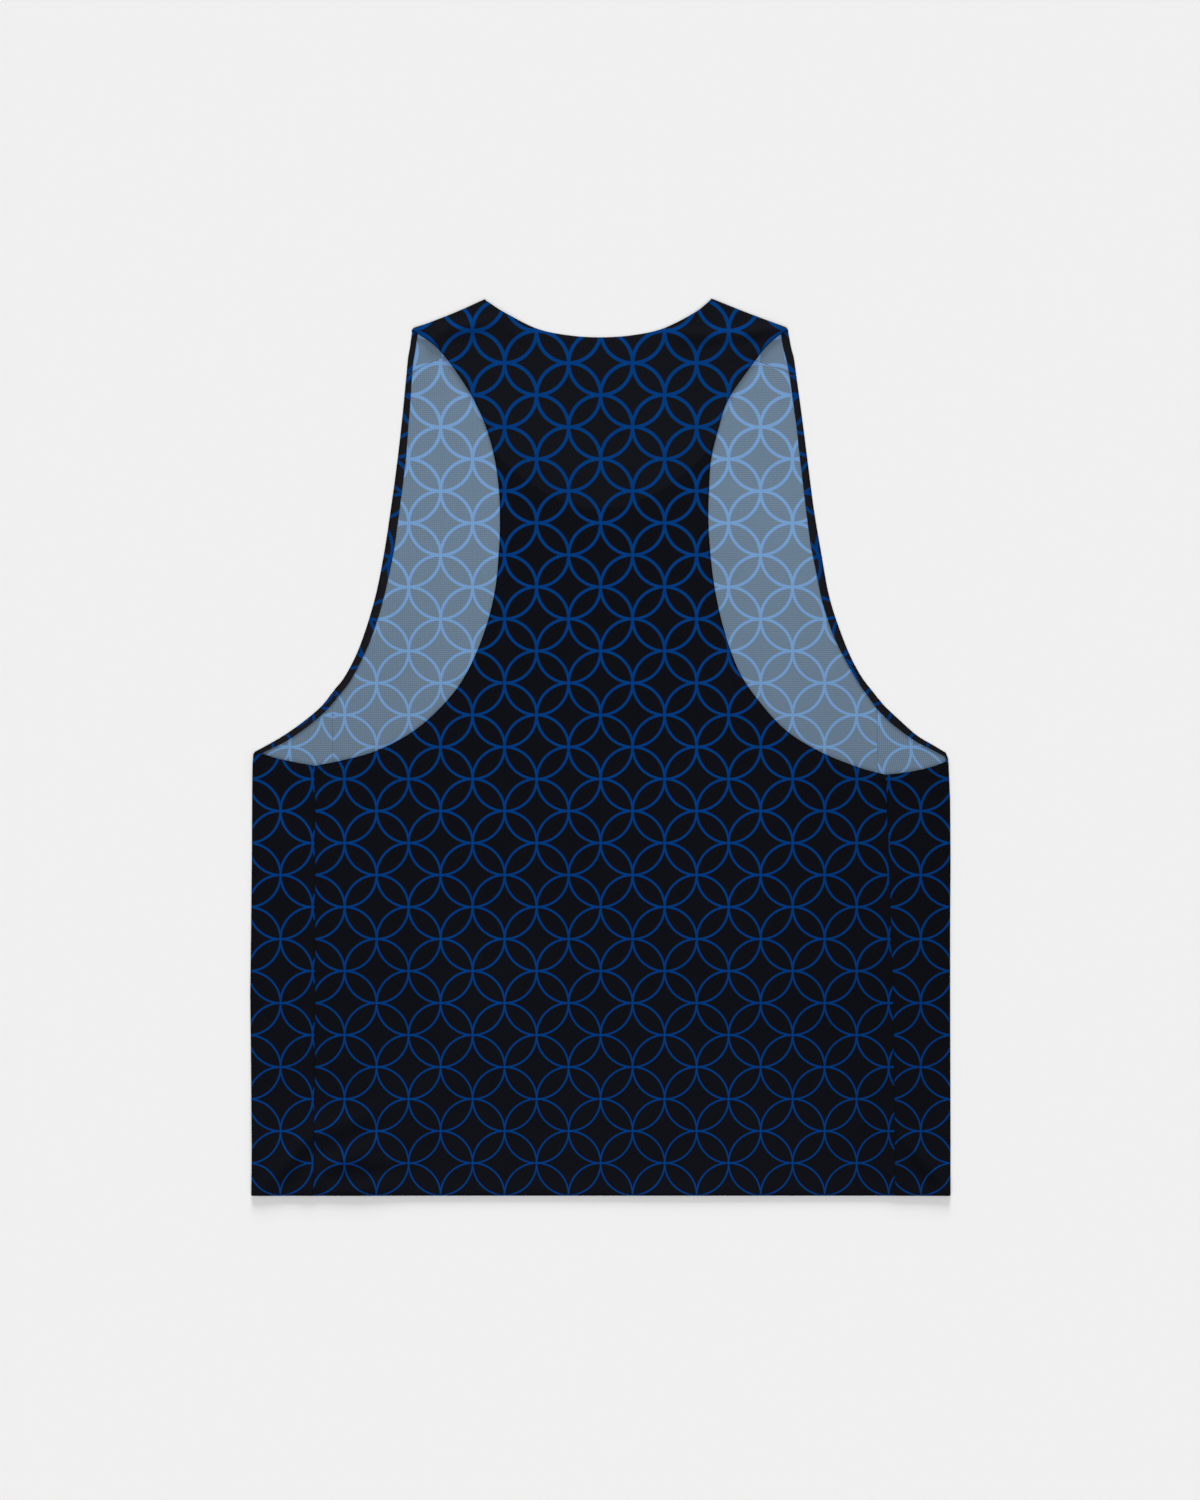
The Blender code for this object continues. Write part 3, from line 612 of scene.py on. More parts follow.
def set_in(armholes, sides):
    """Armhole sections set in to leave room for the turn, the first one down the seams."""
    moved = []
    for row, (left, right) in zip(armholes, sides):
        right_end = end_of(row, 1) - right * TURN_REACH
        moved.append((*(end_of(row, 0) - left * TURN_REACH), row[2], *right_end))
    left_x, left_y, middle_y, right_x, right_y = armholes[0]
    left_y -= TURN_REACH / sides[0][0].y
    right_y -= TURN_REACH / sides[0][1].y
    moved[0] = (left_x + HALF_SEAM, left_y, middle_y, right_x - HALF_SEAM, right_y)
    return moved


def width_at(point):
    """Width of the turned strip at a plan point."""
    return look_up(TURN_WIDTHS, point[1], 1 if point[0] < 0 else 2)


def armhole_edge(grid, armholes, sides, end):
    """What turn_in needs for one armhole edge, along the ends of the grid's last rows."""
    edge = []
    for row, section, pair in zip(grid[-len(armholes) :], armholes, sides):
        edge.append((row[-end], pair[end], pair[end], width_at(end_of(section, end))))
    return edge


def fold_direction(line):
    """The plan direction out of a shoulder fold, up from its line."""
    return away([line[0], line[-1]], 1)[0]


def add_yoke(sheet, strap, fold_line, sections, edge):
    """Wraps the back's cloth over a shoulder fold and down to the shoulder seam.

    strap holds the numbers of the strap's end on the upper layer, from the armhole to the
    neck. edge holds what turn_in needs for that armhole edge and takes on the new points.
    Returns what moves the turned strip's points back where they would pass the fold.
    """
    out = fold_direction(fold_line)
    axis_point = Vector(fold_line[0]) - out * FOLD_REACH
    tops, _, flats = zip(*(sheet.places[number] for number in strap))
    drift = (tops[0] - tops[-1]).to_2d().normalized() * FOLD_DRIFT
    low = lower_height(plan_of(tops))
    strap_width = (tops[-1] - tops[0]).length
    shares = [(top - tops[0]).length / strap_width for top in tops]
    sections = sample(sections, YOKE_STEPS)
    corners = [Vector(section[:2]) for section in sections]
    corner_sides = away(corners, math.copysign(1, corners[0].x))
    first_side = edge[-1][1]
    line = strap

    def mirrored(side):
        return side - out * (2 * side.dot(out))

    def flat_at(point):
        """The cloth's flat place: beyond the fold, as far as the point lies before it."""
        depth = (axis_point - point).dot(out)
        return point + out * (2 * depth + FOLD_LENGTH)

    for step in range(1, FOLD_STEPS + 1):
        part = step / FOLD_STEPS
        angle = math.pi * part
        side = first_side.lerp(corner_sides[0], part).normalized()
        placed = []
        for top, low_z, share, flat in zip(tops, low, shares, flats):
            half_height = (top.z - low_z) / 2
            thin = 1 - FOLD_THIN * fading(share * strap_width, FOLD_THIN_LENGTH)
            bulge = out * (FOLD_RADIUS * thin * math.sin(angle)) + drift * part
            z = low_z + half_height + half_height * math.cos(angle)
            place = Vector((top.x + bulge.x, top.y + bulge.y, z))
            direction = out.to_3d() * math.sin(angle) + Vector((0, 0, math.cos(angle)))
            placed.append((place, direction, flat + out * (FOLD_LENGTH * part)))
        swing = (first_side - side).to_3d() * TURN_REACH
        placed[0] = (placed[0][0] + swing, *placed[0][1:])
        line = sheet.extend(line, placed)
        flat_side = first_side.lerp(mirrored(side), part)
        edge.append((line[0], side, flat_side, width_at(corners[0])))

    seam_up = (corners[-2] - corners[-1]).normalized() * HALF_SEAM
    rows = []
    for section, side in zip(sections, corner_sides):
        start, end = Vector(section[:2]) - side * TURN_REACH, Vector(section[2:])
        rows.append([start.lerp(end, share) for share in shares])
    rows[-1] = [point + seam_up for point in rows[-1]]
    for placed, side, corner in zip(on_lower(rows, flat_at), corner_sides, corners):
        line = sheet.extend(line, placed)
        edge.append((line[0], side, mirrored(side), width_at(corner)))

    def keep(start, place):
        reach = max((start.to_2d() - axis_point).dot(out), 0)
        beyond = (place.to_2d() - axis_point).dot(out) - reach
        return place - out.to_3d() * max(beyond, 0)

    return keep


def panel_parts(table, side_edge, seams, body_top, more_rows=()):
    """A panel's armhole sections, their outward sides, the sections set in, and its body."""
    armholes = sample(table, ARMHOLE_STEPS)
    armholes[-1:-1] = [between(*armholes[-2:], share) for share in more_rows]
    left = away([row[:2] for row in armholes], 1)
    right = away([row[3:] for row in armholes], -1)
    sides = [seam_sides(table, side_edge)] + list(zip(left, right))[1:]
    return armholes, sides, set_in(armholes, sides), body_sections(body_top, seams, table[0])


def back_sheet():
    """The back: upper layer, wrapped over both shoulder folds."""
    armholes, sides, rows, body = panel_parts(
        BACK_ARMHOLES, SIDE_EDGE_UPPER, BACK_SEAM, BACK_BODY_TOP, NECK_ROWS
    )

    def strap_end(line, end):
        """The line just inside a shoulder fold, which starts where the edge is set in."""
        inward = fold_direction(line) * FOLD_REACH
        gap = end_of(rows[-1], end) + inward - Vector(line[-end])
        return lambda share: Vector(curve(line, share)) - inward + gap * abs(1 - end - share) ** 4

    ends = strap_end(SHOULDER_LEFT, 0), strap_end(SHOULDER_RIGHT, 1)
    top = top_line(ends[0], BACK_NECK, ends[1], BACK_COLUMNS)
    sheet = Sheet()
    grid = sheet.grid(on_upper(panel_plan(body, rows, sides, top, BACK_COLUMNS, BACK_BLEND_FROM)))
    left_strap = grid[-1][: BACK_COLUMNS[0] + 1]
    right_strap = grid[-1][: -BACK_COLUMNS[2] - 2 : -1]
    straps = ((left_strap, SHOULDER_LEFT, YOKE_LEFT), (right_strap, SHOULDER_RIGHT, YOKE_RIGHT))
    for end, strap in enumerate(straps):
        edge = armhole_edge(grid, armholes, sides, end)
        keep = add_yoke(sheet, *strap, edge)
        sheet.turn_in(edge, keep)
    return sheet


def front_sheet():
    """The front: flat on the floor, its armhole edges turned up over its inside."""
    armholes, sides, rows, body = panel_parts(
        FRONT_ARMHOLES, SIDE_EDGE_LOWER, FRONT_SEAM, FRONT_BODY_TOP
    )

    def seam_line(start, end):
        below = Vector((0, -HALF_SEAM))
        return lambda share: start.lerp(end, share) + below

    left = seam_line(end_of(rows[-1], 0), Vector(FRONT_NECK[0]))
    right = seam_line(Vector(FRONT_NECK[-1]), end_of(rows[-1], 1))
    top = top_line(left, FRONT_NECK, right, FRONT_COLUMNS)
    sheet = Sheet()
    grid = sheet.grid(on_lower(panel_plan(body, rows, sides, top, FRONT_COLUMNS, FRONT_BLEND_FROM)))
    for end in (0, 1):
        sheet.turn_in(armhole_edge(grid, armholes, sides, end))
    return sheet


def fold_centre(end, y):
    """x of the middle of a side fold's half round, left (0) or right (1)."""
    return look_up(BODY, y, SIDE_FOLD[end]) - OUTWARD[end] * FOLD_REACH


class SideLayer:
    """One layer of a side panel, from its seam to the side fold and up to its armhole edge.

    The grid ends at its rim, below the edge by enough to leave room for the turn.
    """

    def __init__(self, end, edge, armholes, seam):
        self.end = end
        self.seam = seam[end]
        line = [row[2 * end : 2 * end + 2] for row in sample(edge, LINE_STEPS)]
        heights = sorted((abs(x), y) for x, y in line)
        columns = [self.x_at(share, BODY[-1][0]) for share in SIDE_SHARES]
        self.edge = [(x, look_up(heights, abs(x), 1)) for x in columns]
        self.sides = away(self.edge, OUTWARD[end])
        self.sides[0] = seam_sides(armholes, edge)[end]
        self.rim = [y - TURN_REACH / side.y for (x, y), side in zip(self.edge, self.sides)]

    def x_at(self, share, y):
        """x at a share of the way from the seam to the fold."""
        seam = look_up(BODY, y, self.seam) + OUTWARD[self.end] * HALF_SEAM
        return seam + (fold_centre(self.end, y) - seam) * share

    def rows(self, shares):
        """Rows of plan points at shares of the way from the hem to the rim."""
        rows = []
        for up in shares:
            heights = [HEM_Y + (y - HEM_Y) * up for y in self.rim]
            rows.append([(self.x_at(share, y), y) for share, y in zip(SIDE_SHARES, heights)])
        return rows

    def flat_beyond(self, point):
        """The flat place of a point on the lower layer: beyond the fold."""
        x, y = point
        centre = fold_centre(self.end, y)
        return Vector((centre + OUTWARD[self.end] * (FOLD_LENGTH + abs(centre - x)), y))


def fold_row(end, low, high, drop):
    """Points round a side fold, from one on the lower layer to one on the upper."""
    placed = []
    for share in FOLD_SHARES:
        across, up = math.sin(math.pi * share), -math.cos(math.pi * share)
        y = low.y + (high.y - low.y) * share - drop * across
        centre = fold_centre(end, y)
        x = centre + OUTWARD[end] * FOLD_RADIUS * across
        z = low.z + (high.z - low.z) / 2 * (1 + up)
        direction = Vector((OUTWARD[end] * across, 0, up))
        beyond = OUTWARD[end] * FOLD_LENGTH * (1 - share)
        placed.append((Vector((x, y, z)), direction, Vector((centre + beyond, y))))
    return placed


def side_sheet(end):
    """The left (0) or right (1) side panel, from the front seam round to the back seam."""
    lower = SideLayer(end, SIDE_EDGE_LOWER, FRONT_ARMHOLES, FRONT_SEAM)
    upper = SideLayer(end, SIDE_EDGE_UPPER, BACK_ARMHOLES, BACK_SEAM)
    height = -HEM_Y
    shares = [up / height for up in rows_up(height - EDGE_STEPS[-1] - ROW_STEP)]
    shares += [1 - step / height for step in EDGE_STEPS[::-1]] + [1]
    low_rows = on_lower(lower.rows(shares), lower.flat_beyond)
    lines = []
    for share, low, high in zip(shares, low_rows, on_upper(upper.rows(shares))):
        fold = fold_row(end, low[-1][0], high[-1][0], FOLD_CORNER_DROP * smooth(share))
        lines.append(low + fold + high[::-1])
    sheet = Sheet()
    top = sheet.grid(lines)[-1]
    low_side, high_side = lower.sides[-1], upper.sides[-1]
    turned = [low_side.lerp(high_side, share).normalized() for share in FOLD_SHARES]
    flat = [Vector((-side.x, side.y)) for side in lower.sides]
    flat += [flat[-1].lerp(high_side, share) for share in FOLD_SHARES]
    widths = [width_at(point) for point in lower.edge]
    widths += [widths[-1] * (1 - STRIP_NARROWER * math.sin(math.pi * s)) for s in FOLD_SHARES]
    widths += [width_at(point) for point in upper.edge[::-1]]
    back = upper.sides[::-1]
    sheet.turn_in(zip(top, lower.sides + turned + back, flat + back, widths))
    return sheet


# The print: overlapping circles, a common repeat, with lines that thin towards the hem
CIRCLE_RADIUS = 24
LINE_WIDTH_TOP, LINE_WIDTH_HEM = 2.7, 1.05
LINE_SOFTNESS = 0.35

# Colours, linear. The back is a little paler where no other layer lies under it: painted light, from the
# pale floor shining through the single layer.
INK_TOP = (0.0002, 0.0385, 0.1820, 1)
INK_HEM = (0.0002, 0.0325, 0.1700, 1)
BLACK_LIT_THROUGH = (0.0062, 0.0068, 0.0095, 1)
BLACK_DOUBLE = (0.0042, 0.0046, 0.0070, 1)
# Painted sheen: the turned strips, whose edges stand tilted and thicker, are paler
BLACK_STRIP_SHEEN = (0.0092, 0.0090, 0.0112, 1)
PALE = (0.130, 0.190, 0.262, 1)
PALE_LINE = (0.155, 0.308, 0.570, 1)
THREAD = (0.0040, 0.0044, 0.0062)
INSIDE_THREAD = (0.095, 0.135, 0.185)
FLOOR_COLOUR = (0.8, 0.8, 0.8, 1)
# How deep the painted shade is at the outer face's edges and folds
RIM_PAINTED_SHADE = 0.5

# The paler area's lower edge, a parabola: its lowest height, opening and softness
SINGLE_FROM, SINGLE_OPENING, SINGLE_SOFTNESS = 179, 150, 1.2

# Painted light and shade on the outer face: a little paler towards the hem and darker towards the right
# side.
HEM_PAINTED_LIGHT, HEM_PAINTED_LIGHT_FROM = 0.16, -180
RIGHT_PAINTED_SHADE, RIGHT_PAINTED_SHADE_FROM, RIGHT_PAINTED_SHADE_TO = 0.15, 110, 230

# A soft pool of painted light: its middle, how far it reaches and how much paler it is
PAINTED_LIGHT_PLACE = (-80, -175, 0)
PAINTED_LIGHT_REACH, PAINTED_LIGHT_SHARE = 62, 0.16

# The knit: spacing of its ribs and of its rows of loops, fainter outside towards the hem
RIB, COURSE = 1.5, 1.55
FAINT_BELOW, CLEAR_ABOVE = -80, 220

# The inside is darker towards the underarms.
DARK_BELOW, LIGHT_ABOVE = 0, 160

# Spacings of the soft cloudiness and the grain of both faces
OUTER_CLOUDS, INNER_CLOUDS = 45, 40
OUTER_GRAIN, INNER_GRAIN = 0.7, 0.8

# In metres: depths of both faces' relief, and the spacing of the thread's twist
OUTER_RELIEF, INNER_RELIEF = 0.00012, 0.00015
TWIST = 0.0006


class Nodes:
    """Builds a material's nodes from numbers and other nodes' outputs."""

    def __init__(self, name):
        self.material = bpy.data.materials.new(name)
        self.material.use_nodes = True
        self.tree = self.material.node_tree
        self.shader = self.tree.nodes["Principled BSDF"]

    def new(self, kind):
        return self.tree.nodes.new("ShaderNode" + kind)

    def fill(self, node, inputs, output=0):
        """Fills a node's inputs and returns one of its outputs."""
        for key, value in inputs.items():
            if isinstance(value, bpy.types.NodeSocket):
                self.tree.links.new(value, node.inputs[key])
            else:
                node.inputs[key].default_value = value
        return node.outputs[output]

    def math(self, operation, *values):
        node = self.new("Math")
        node.operation = operation
        return self.fill(node, dict(enumerate(values)))

    def times(self, value, by):
        return self.math("MULTIPLY", value, by)

    def linear(self, value, slope, start):
        """value times slope, plus start."""
        return self.math("MULTIPLY_ADD", value, slope, start)

    def vector(self, operation, output, *values, **inputs):
        node = self.new("VectorMath")
        node.operation = operation
        return self.fill(node, {**dict(enumerate(values)), **inputs}, output)

    def scale(self, value, by):
        return self.vector("SCALE", "Vector", value, Scale=by)

    def stored(self, name):
        """A number stored at the mesh's points."""
        node = self.new("Attribute")
        node.attribute_name = name
        return node.outputs["Fac"]

    def mix(self, share, a, b):
        node = self.new("Mix")
        node.data_type = "RGBA"
        return self.fill(node, {0: share, 6: a, 7: b}, 2)

    def ramp(self, value, low, high):
        """0 where value is low, 1 where it is high, straight between."""
        return self.fill(self.new("MapRange"), {"Value": value, "From Min": low, "From Max": high})

    def wave(self, value, spacing):
        """A wave from 0 to 1 with this spacing."""
        turn = self.times(value, 2 * math.pi / spacing)
        return self.linear(self.math("SINE", turn), 0.5, 0.5)

    def noise(self, place, spacing, detail=2):
        inputs = {"Vector": place, "Scale": 1 / spacing, "Detail": detail}
        return self.fill(self.new("TexNoise"), inputs)

    def finish(self, colour, shade, **look):
        """Gives the shader its colour times a shade, and its other values."""
        look = {key.replace("_", " "): value for key, value in look.items()}
        self.fill(self.shader, {"Base Color": self.scale(colour, shade), **look})
        return self.material


class Knit(Nodes):
    """A knit's nodes: places on the flat cut in millimetres, ribs, loops and the print."""

    def __init__(self, name):
        super().__init__(name)
        cut = self.new("UVMap")
        cut.uv_map = "cloth"
        self.place = self.scale(cut.outputs[0], 1 / MM)
        parts = self.new("SeparateXYZ")
        self.fill(parts, {0: self.place})
        self.x, self.y = parts.outputs[0], parts.outputs[1]
        self.height = self.ramp(self.y, HEM_Y, -HEM_Y)
        self.rib = self.wave(self.x, RIB)
        self.course = self.wave(self.y, COURSE)

    def bump(self, height, distance):
        node = self.new("Bump")
        normal = self.fill(node, {"Height": height, "Distance": distance, "Strength": 0.5})
        self.fill(self.shader, {"Normal": normal})

    def print_lines(self):
        """1 on the printed lines and 0 between them."""
        spacing = CIRCLE_RADIUS * math.sqrt(2)
        turned = self.new("VectorRotate")
        turned.rotation_type = "Z_AXIS"
        turned_place = self.fill(turned, {"Vector": self.place, "Angle": math.radians(45)})
        scaled = self.vector("MULTIPLY", "Vector", turned_place, (1 / spacing,) * 3)
        cell = self.vector("FRACTION", "Vector", scaled)
        nearest = None
        for corner in ((0, 0, 0), (1, 0, 0), (0, 1, 0), (1, 1, 0)):
            from_centre = self.vector("DISTANCE", "Value", cell, corner)
            gap = self.math("ABSOLUTE", self.math("SUBTRACT", from_centre, math.sqrt(0.5)))
            nearest = self.math("MINIMUM", nearest, gap) if nearest else gap
        wider = (LINE_WIDTH_TOP - LINE_WIDTH_HEM) / 2
        half = self.linear(self.height, wider, LINE_WIDTH_HEM / 2)
        inside = self.math("SUBTRACT", half, self.times(nearest, spacing))
        return self.ramp(inside, -LINE_SOFTNESS / 2, LINE_SOFTNESS / 2)

    def single_layer(self):
        """1 where nothing lies under the back but the floor, inside the front's neckline."""
        square = self.times(self.x, self.x)
        above = self.linear(square, -1 / SINGLE_OPENING, self.y)
        return self.ramp(above, SINGLE_FROM - SINGLE_SOFTNESS, SINGLE_FROM + SINGLE_SOFTNESS)

    def tone(self):
        """Painted light and shade on the outer face: how pale it is at each place, 1 on most of it."""
        paler = self.times(self.ramp(self.y, HEM_PAINTED_LIGHT_FROM, HEM_Y), HEM_PAINTED_LIGHT)
        from_middle = self.vector("DISTANCE", "Value", self.place, PAINTED_LIGHT_PLACE)
        paler = self.linear(self.ramp(from_middle, PAINTED_LIGHT_REACH, 0), PAINTED_LIGHT_SHARE, paler)
        right = self.ramp(self.x, RIGHT_PAINTED_SHADE_FROM, RIGHT_PAINTED_SHADE_TO)
        darker = self.times(right, RIGHT_PAINTED_SHADE)
        return self.math("ADD", self.math("SUBTRACT", paler, darker), 1)


def printed_knit():
    """The outer face: near-black ribbed knit with blue printed lines."""
    knit = Knit("printed_knit")
    dots = knit.times(knit.rib, knit.course)
    ribs = knit.linear(dots, 0.16, knit.times(knit.rib, 0.20))
    clear = knit.linear(knit.ramp(knit.y, FAINT_BELOW, CLEAR_ABOVE), 0.65, 0.35)
    shade = knit.linear(knit.math("SUBTRACT", ribs, 0.14), clear, 0.96)
    clouds = knit.linear(knit.noise(knit.place, OUTER_CLOUDS), 0.24, 0.90)
    # Painted shade at the edges and folds, where the cloth turns away from the light
    edge = knit.linear(knit.stored("rim"), -RIM_PAINTED_SHADE, 1)
    # Broad painted light and shade: paler towards the hem and at a soft place, darker towards the right
    # side
    shade = knit.times(knit.times(knit.times(shade, clouds), edge), knit.tone())
    # Painted light: the back's black is paler where the pale floor shines through the single layer
    black = knit.mix(knit.single_layer(), BLACK_DOUBLE, BLACK_LIT_THROUGH)
    # Painted sheen makes the turned strips paler
    black = knit.mix(knit.stored("strip"), black, BLACK_STRIP_SHEEN)
    ink = knit.mix(knit.height, INK_HEM, INK_TOP)
    colour = knit.mix(knit.print_lines(), black, ink)
    grain = knit.noise(knit.place, OUTER_GRAIN, 1)
    relief = knit.linear(grain, 0.35, knit.times(knit.rib, 0.6))
    knit.bump(knit.linear(dots, 0.4, relief), OUTER_RELIEF)
    rough = knit.linear(knit.rib, 0.10, 0.66)
    return knit.finish(colour, shade, Roughness=rough, Specular_IOR_Level=0.01, Sheen_Weight=0)


def knit_inside():
    """The inner face: pale grey-blue waffle knit, the print showing through."""
    knit = Knit("knit_inside")
    groove = knit.linear(knit.rib, 0.6, knit.times(knit.course, 0.4))
    clouds = knit.linear(knit.noise(knit.place, INNER_CLOUDS), 0.10, 0.95)
    low = knit.linear(knit.ramp(knit.y, DARK_BELOW, LIGHT_ABOVE), 0.11, 0.89)
    shade = knit.times(knit.times(knit.linear(groove, 0.46, 0.755), clouds), low)
    colour = knit.mix(knit.times(knit.print_lines(), 0.95), PALE, PALE_LINE)
    knit.bump(knit.linear(knit.noise(knit.place, INNER_GRAIN, 1), 0.3, groove), INNER_RELIEF)
    rough = knit.linear(groove, 0.08, 0.78)
    return knit.finish(colour, shade, Roughness=rough, Specular_IOR_Level=0.1, Sheen_Weight=0.03)


def thread_material(name, colour):
    """Twisted sewing thread, a little smoother than the knit."""
    nodes = Nodes(name)
    twist = nodes.noise(nodes.new("TexCoord").outputs["Object"], TWIST, 1)
    shade = nodes.linear(twist, 0.5, 0.75)
    return nodes.finish(colour, shade, Roughness=0.6, Specular_IOR_Level=0.02)


def floor_material():
    """A plain pale floor."""
    nodes = Nodes("floor")
    look = {"Base Color": FLOOR_COLOUR, "Roughness": 1, "Specular IOR Level": 0}
    nodes.fill(nodes.shader, look)
    return nodes.material


# Sewing: a cord that fills each seam, zigzags across it, and tacks at the seams' tops.
# A stitch is the spacing of its points and half its width.
THREAD_RADIUS = 0.12
THREAD_SIDES = 5
THREAD_ABOVE = CLOTH / 2 + THREAD_RADIUS / 4
THREAD_BELOW = THREAD_RADIUS - THREAD_ABOVE
THREAD_ON_STRIP = 2 * TURN_RADIUS + THREAD_ABOVE
SEAM_STITCH = (1.3, 0.75)
TACK_STITCH = (0.35, 1.2)
CORD_RADIUS, SHOULDER_CORD_RADIUS = 0.17, 0.22
SEAM_POINTS, SEAM_START = 90, 0.3
SHOULDER_STEPS = 20

# Tops of the cord and the zigzag in both side seams, ends of the shoulder seams, tacks
BACK_TOPS = ((-14.3, -18.3), (-21, -25))
FRONT_TOPS = ((40.6, -20), (36.6, -20))
SHOULDERS = (((-144.9, 280.3), (-87.5, 306.9)), ((146.1, 279.2), (84.7, 301.9)))
TACKS = (
    ("underarm_left", (-214.2, -18.4), (-206.8, -17.2), upper_height, THREAD_ABOVE),
    ("underarm_right", (207.8, -24), (214.8, -25.2), upper_height, THREAD_ABOVE),
    ("shoulder_left", (-145, 281.2), (-141.6, 282.2), lower_height, THREAD_ON_STRIP),
    ("shoulder_right", (142.8, 280.8), (146.2, 279.8), lower_height, THREAD_ON_STRIP),
)


def tube(name, path, radius, material):
    """A thread along a path, as a closed tube with few sides."""
    verts, faces = [], []
    for i, point in enumerate(path):
        along = (path[min(i + 1, len(path) - 1)] - path[max(i - 1, 0)]).normalized()
        side = along.cross(Vector((0, 0, 1))).normalized()
        up = side.cross(along)
        for k in range(THREAD_SIDES):
            turn = 2 * math.pi * k / THREAD_SIDES
            verts.append((point + (side * math.cos(turn) + up * math.sin(turn)) * radius) * MM)
    last = (len(path) - 1) * THREAD_SIDES
    for start in range(0, last, THREAD_SIDES):
        for k in range(THREAD_SIDES):
            a, b = start + k, start + (k + 1) % THREAD_SIDES
            faces.append((a, b, b + THREAD_SIDES, a + THREAD_SIDES))
    faces.append(tuple(range(THREAD_SIDES)))
    faces.append(tuple(range(last, last + THREAD_SIDES)))
    mesh = bpy.data.meshes.new(name)
    mesh.from_pydata(verts, [], faces)
    face_out(mesh)
    mesh.materials.append(MATERIALS[material])
    return in_scene(name, mesh)


def zigzag(path, stitch):
    """Plan points that zigzag along a path."""
    spacing, half_width = stitch
    length = sum((b - a).length for a, b in zip(path, path[1:]))
    count = max(int(length / spacing), 2)
    line = [Vector(curve(path, k / count)) for k in range(count + 1)]
    sides = away(line, 1)
    return [p + n * half_width * (-1) ** k for k, (p, n) in enumerate(zip(line, sides))]


def sew(name, points, height_at, above, radius=THREAD_RADIUS, material="thread"):
    """A thread through plan points, this far above or below a layer's middle."""
    xy = np.array([point[:] for point in points])
    path = [Vector((x, y, z)) for (x, y), z in zip(xy, height_at(xy) + above)]
    return tube(name, path, radius, material)


def seam_path(column, top):
    """Plan points up a side seam of the body."""
    ys = np.linspace(HEM_Y + SEAM_START, top, SEAM_POINTS)
    return [Vector((look_up(BODY, y, column), y)) for y in ys]


def sew_seams(name, paths, height_at, above, radius=CORD_RADIUS, material="inside_thread"):
    """The cords and zigzags of a left and a right seam."""
    threads = []
    for side, (path, stitched) in zip(("_left", "_right"), paths):
        low = CLOTH / 2 - radius
        threads.append(sew("cord_" + name + side, path, height_at, low, radius, material))
        stitches = zigzag(stitched, SEAM_STITCH)
        threads.append(sew("thread_" + name + side, stitches, height_at, above))
    return threads


def side_paths(columns, tops):
    """Paths of the cord and the zigzag up each side seam."""
    return [[seam_path(column, top) for top in pair] for column, pair in zip(columns, tops)]


def add_threads():
    """All the sewing that shows, by the panel it goes with."""
    back = sew_seams(
        "back", side_paths(BACK_SEAM, BACK_TOPS), upper_height, THREAD_ABOVE, material="thread"
    )
    front = sew_seams("front", side_paths(FRONT_SEAM, FRONT_TOPS), lower_height, THREAD_BELOW)
    shoulders = []
    for start, end in SHOULDERS:
        path = [Vector(between(start, end, k / SHOULDER_STEPS)) for k in range(SHOULDER_STEPS + 1)]
        shoulders.append((path, [path[0], path[-1]]))
    back += sew_seams("shoulder", shoulders, lower_height, THREAD_BELOW, SHOULDER_CORD_RADIUS)
    for place, start, end, height_at, above in TACKS:
        stitches = zigzag([Vector(start), Vector(end)], TACK_STITCH)
        back.append(sew("tack_" + place, stitches, height_at, above))
    return back, front


# In metres: half the floor's width, and how far it lies below the singlet
FLOOR_HALF, FLOOR_BELOW = 20, 0.00005


def add_floor():
    """A wide pale floor that the singlet lies on."""
    half = FLOOR_HALF
    corners = [(-half, -half, 0), (half, -half, 0), (half, half, 0), (-half, half, 0)]
    mesh = bpy.data.meshes.new("floor")
    mesh.from_pydata(corners, [], [(0, 1, 2, 3)])
    mesh.materials.append(MATERIALS["floor"])
    floor = in_scene("floor", mesh)
    floor.location.z = -FLOOR_BELOW


# Light: the floor's brightness, and its share from all round. Suns: degrees down from
# straight towards the neck, share of the floor's light, width in degrees
FLOOR_LIGHT, ROUND_SHARE = 1.089, 0.2
SUNS = {"from_above": (78, 0.51, 80), "from_beyond": (162, 0.29, 20)}


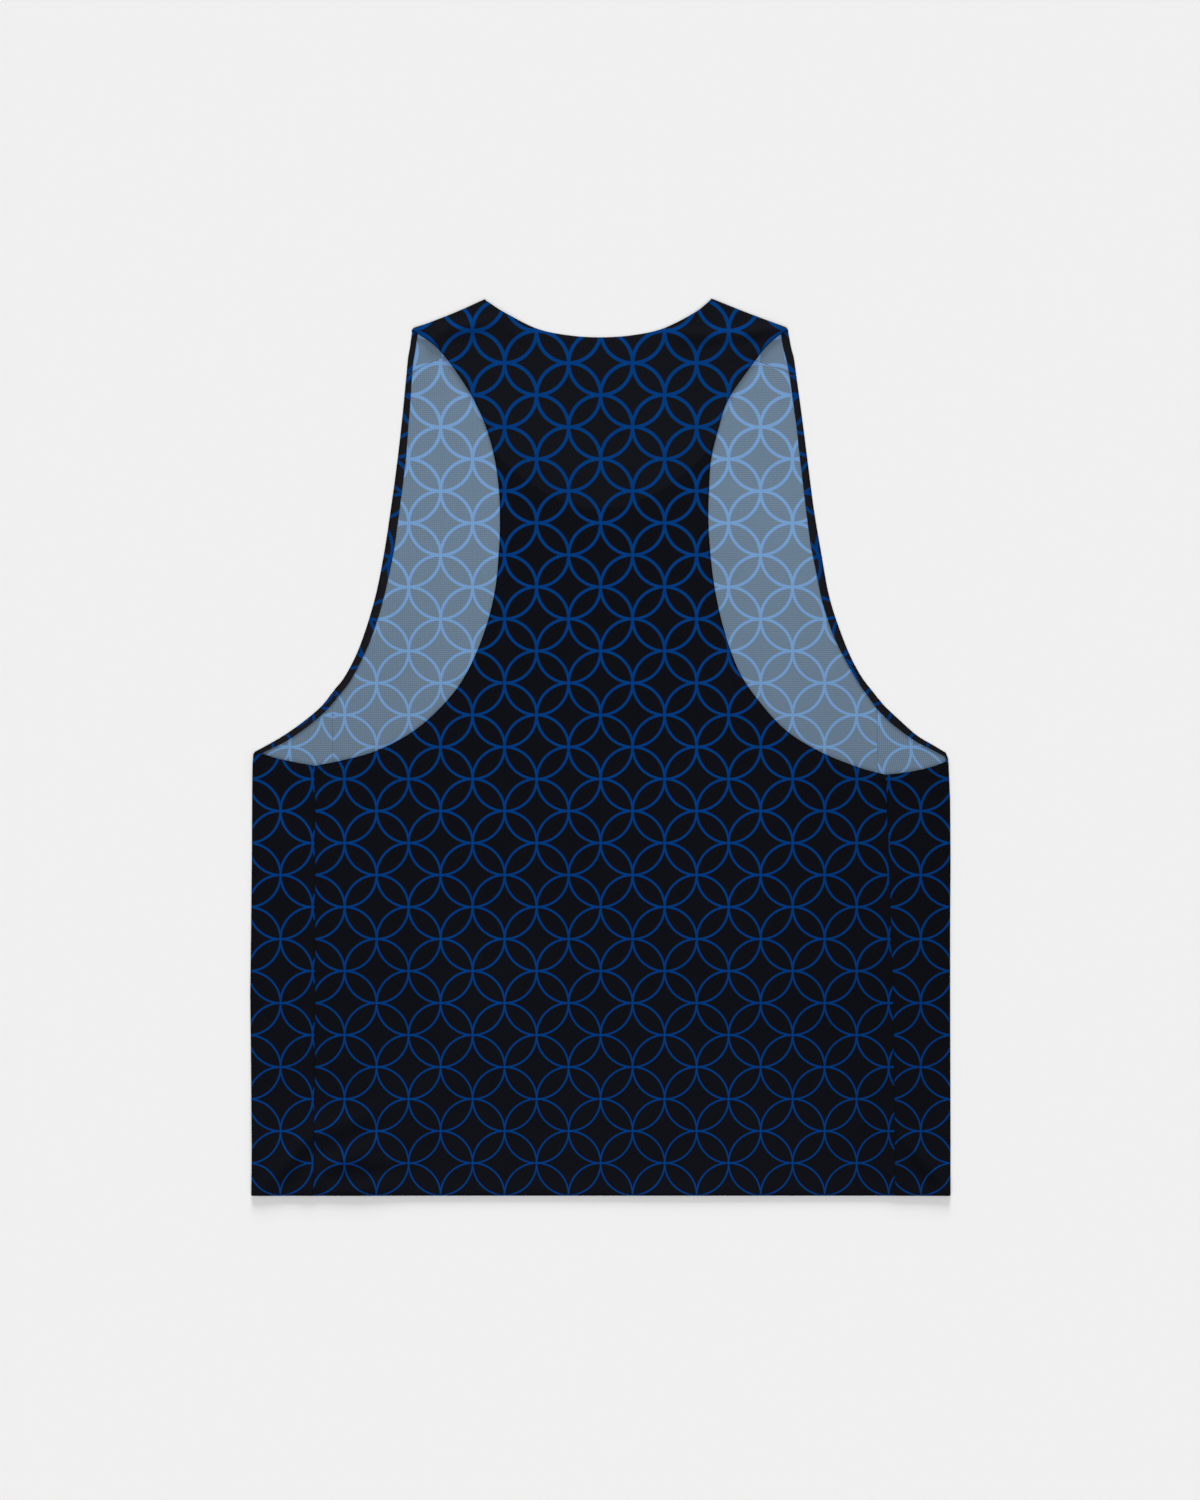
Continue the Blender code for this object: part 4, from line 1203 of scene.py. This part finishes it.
def add_lights():
    """A soft sun from above, a low one from beyond the neck, and the room."""
    for name, (slope, share, width) in SUNS.items():
        down = math.sin(math.radians(slope))
        towards = Vector((0, math.cos(math.radians(slope)), -down))
        light = bpy.data.lights.new(name, "SUN")
        light.energy = share * FLOOR_LIGHT * math.pi / down
        light.angle = math.radians(width)
        sun = in_scene(name, light)
        sun.rotation_mode = "QUATERNION"
        sun.rotation_quaternion = towards.to_track_quat("-Z", "Y")
        sun.location = -towards * 3
    world = bpy.data.worlds.new("room")
    bpy.context.scene.world = world
    world.use_nodes = True
    room = world.node_tree.nodes["Background"]
    room.inputs["Color"].default_value = (1, 1, 1, 1)
    room.inputs["Strength"].default_value = ROUND_SHARE * FLOOR_LIGHT


# The picture: millimetres a pixel, its height in pixels, and what lies at its middle
PIXEL = 0.75
PICTURE_HEIGHT = 1500
PICTURE_MIDDLE = (-0.45, -2.25)
LENS, SENSOR = 85, 36


def add_camera():
    """The camera looks straight down."""
    data = bpy.data.cameras.new("camera")
    data.lens, data.sensor_width = LENS, SENSOR
    camera = in_scene("camera", data)
    distance = PIXEL * PICTURE_HEIGHT * LENS / SENSOR
    camera.location = Vector((*PICTURE_MIDDLE, distance + UPPER)) * MM
    bpy.context.scene.camera = camera


def add_panel(name, sheet, with_pieces=()):
    """A panel's shell in the place of its CAD node."""
    node, slot, support, shift, width, length, area = PANELS[name]
    shell = sheet.shell(name, shift)
    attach(shell, "root")
    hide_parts(node)
    for piece in with_pieces:
        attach(piece, "root")
    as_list(with_pieces)


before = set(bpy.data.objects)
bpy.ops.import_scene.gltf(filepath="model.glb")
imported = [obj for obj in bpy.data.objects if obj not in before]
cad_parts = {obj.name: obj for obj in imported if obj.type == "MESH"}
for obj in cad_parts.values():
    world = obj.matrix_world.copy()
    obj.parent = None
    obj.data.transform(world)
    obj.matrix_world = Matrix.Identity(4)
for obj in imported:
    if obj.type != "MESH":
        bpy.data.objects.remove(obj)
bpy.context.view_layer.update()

MATERIALS = {
    "printed_knit": printed_knit(),
    "knit_inside": knit_inside(),
    "thread": thread_material("thread", THREAD),
    "inside_thread": thread_material("inside_thread", INSIDE_THREAD),
    "floor": floor_material(),
}

back_threads, front_threads = add_threads()
add_panel("front_shell", front_sheet(), front_threads)
add_panel("side_shell_left", side_sheet(0))
add_panel("side_shell_right", side_sheet(1))
add_panel("back_shell", back_sheet(), back_threads)
add_floor()
add_lights()
add_camera()
bpy.context.scene.view_settings.view_transform = "Standard"
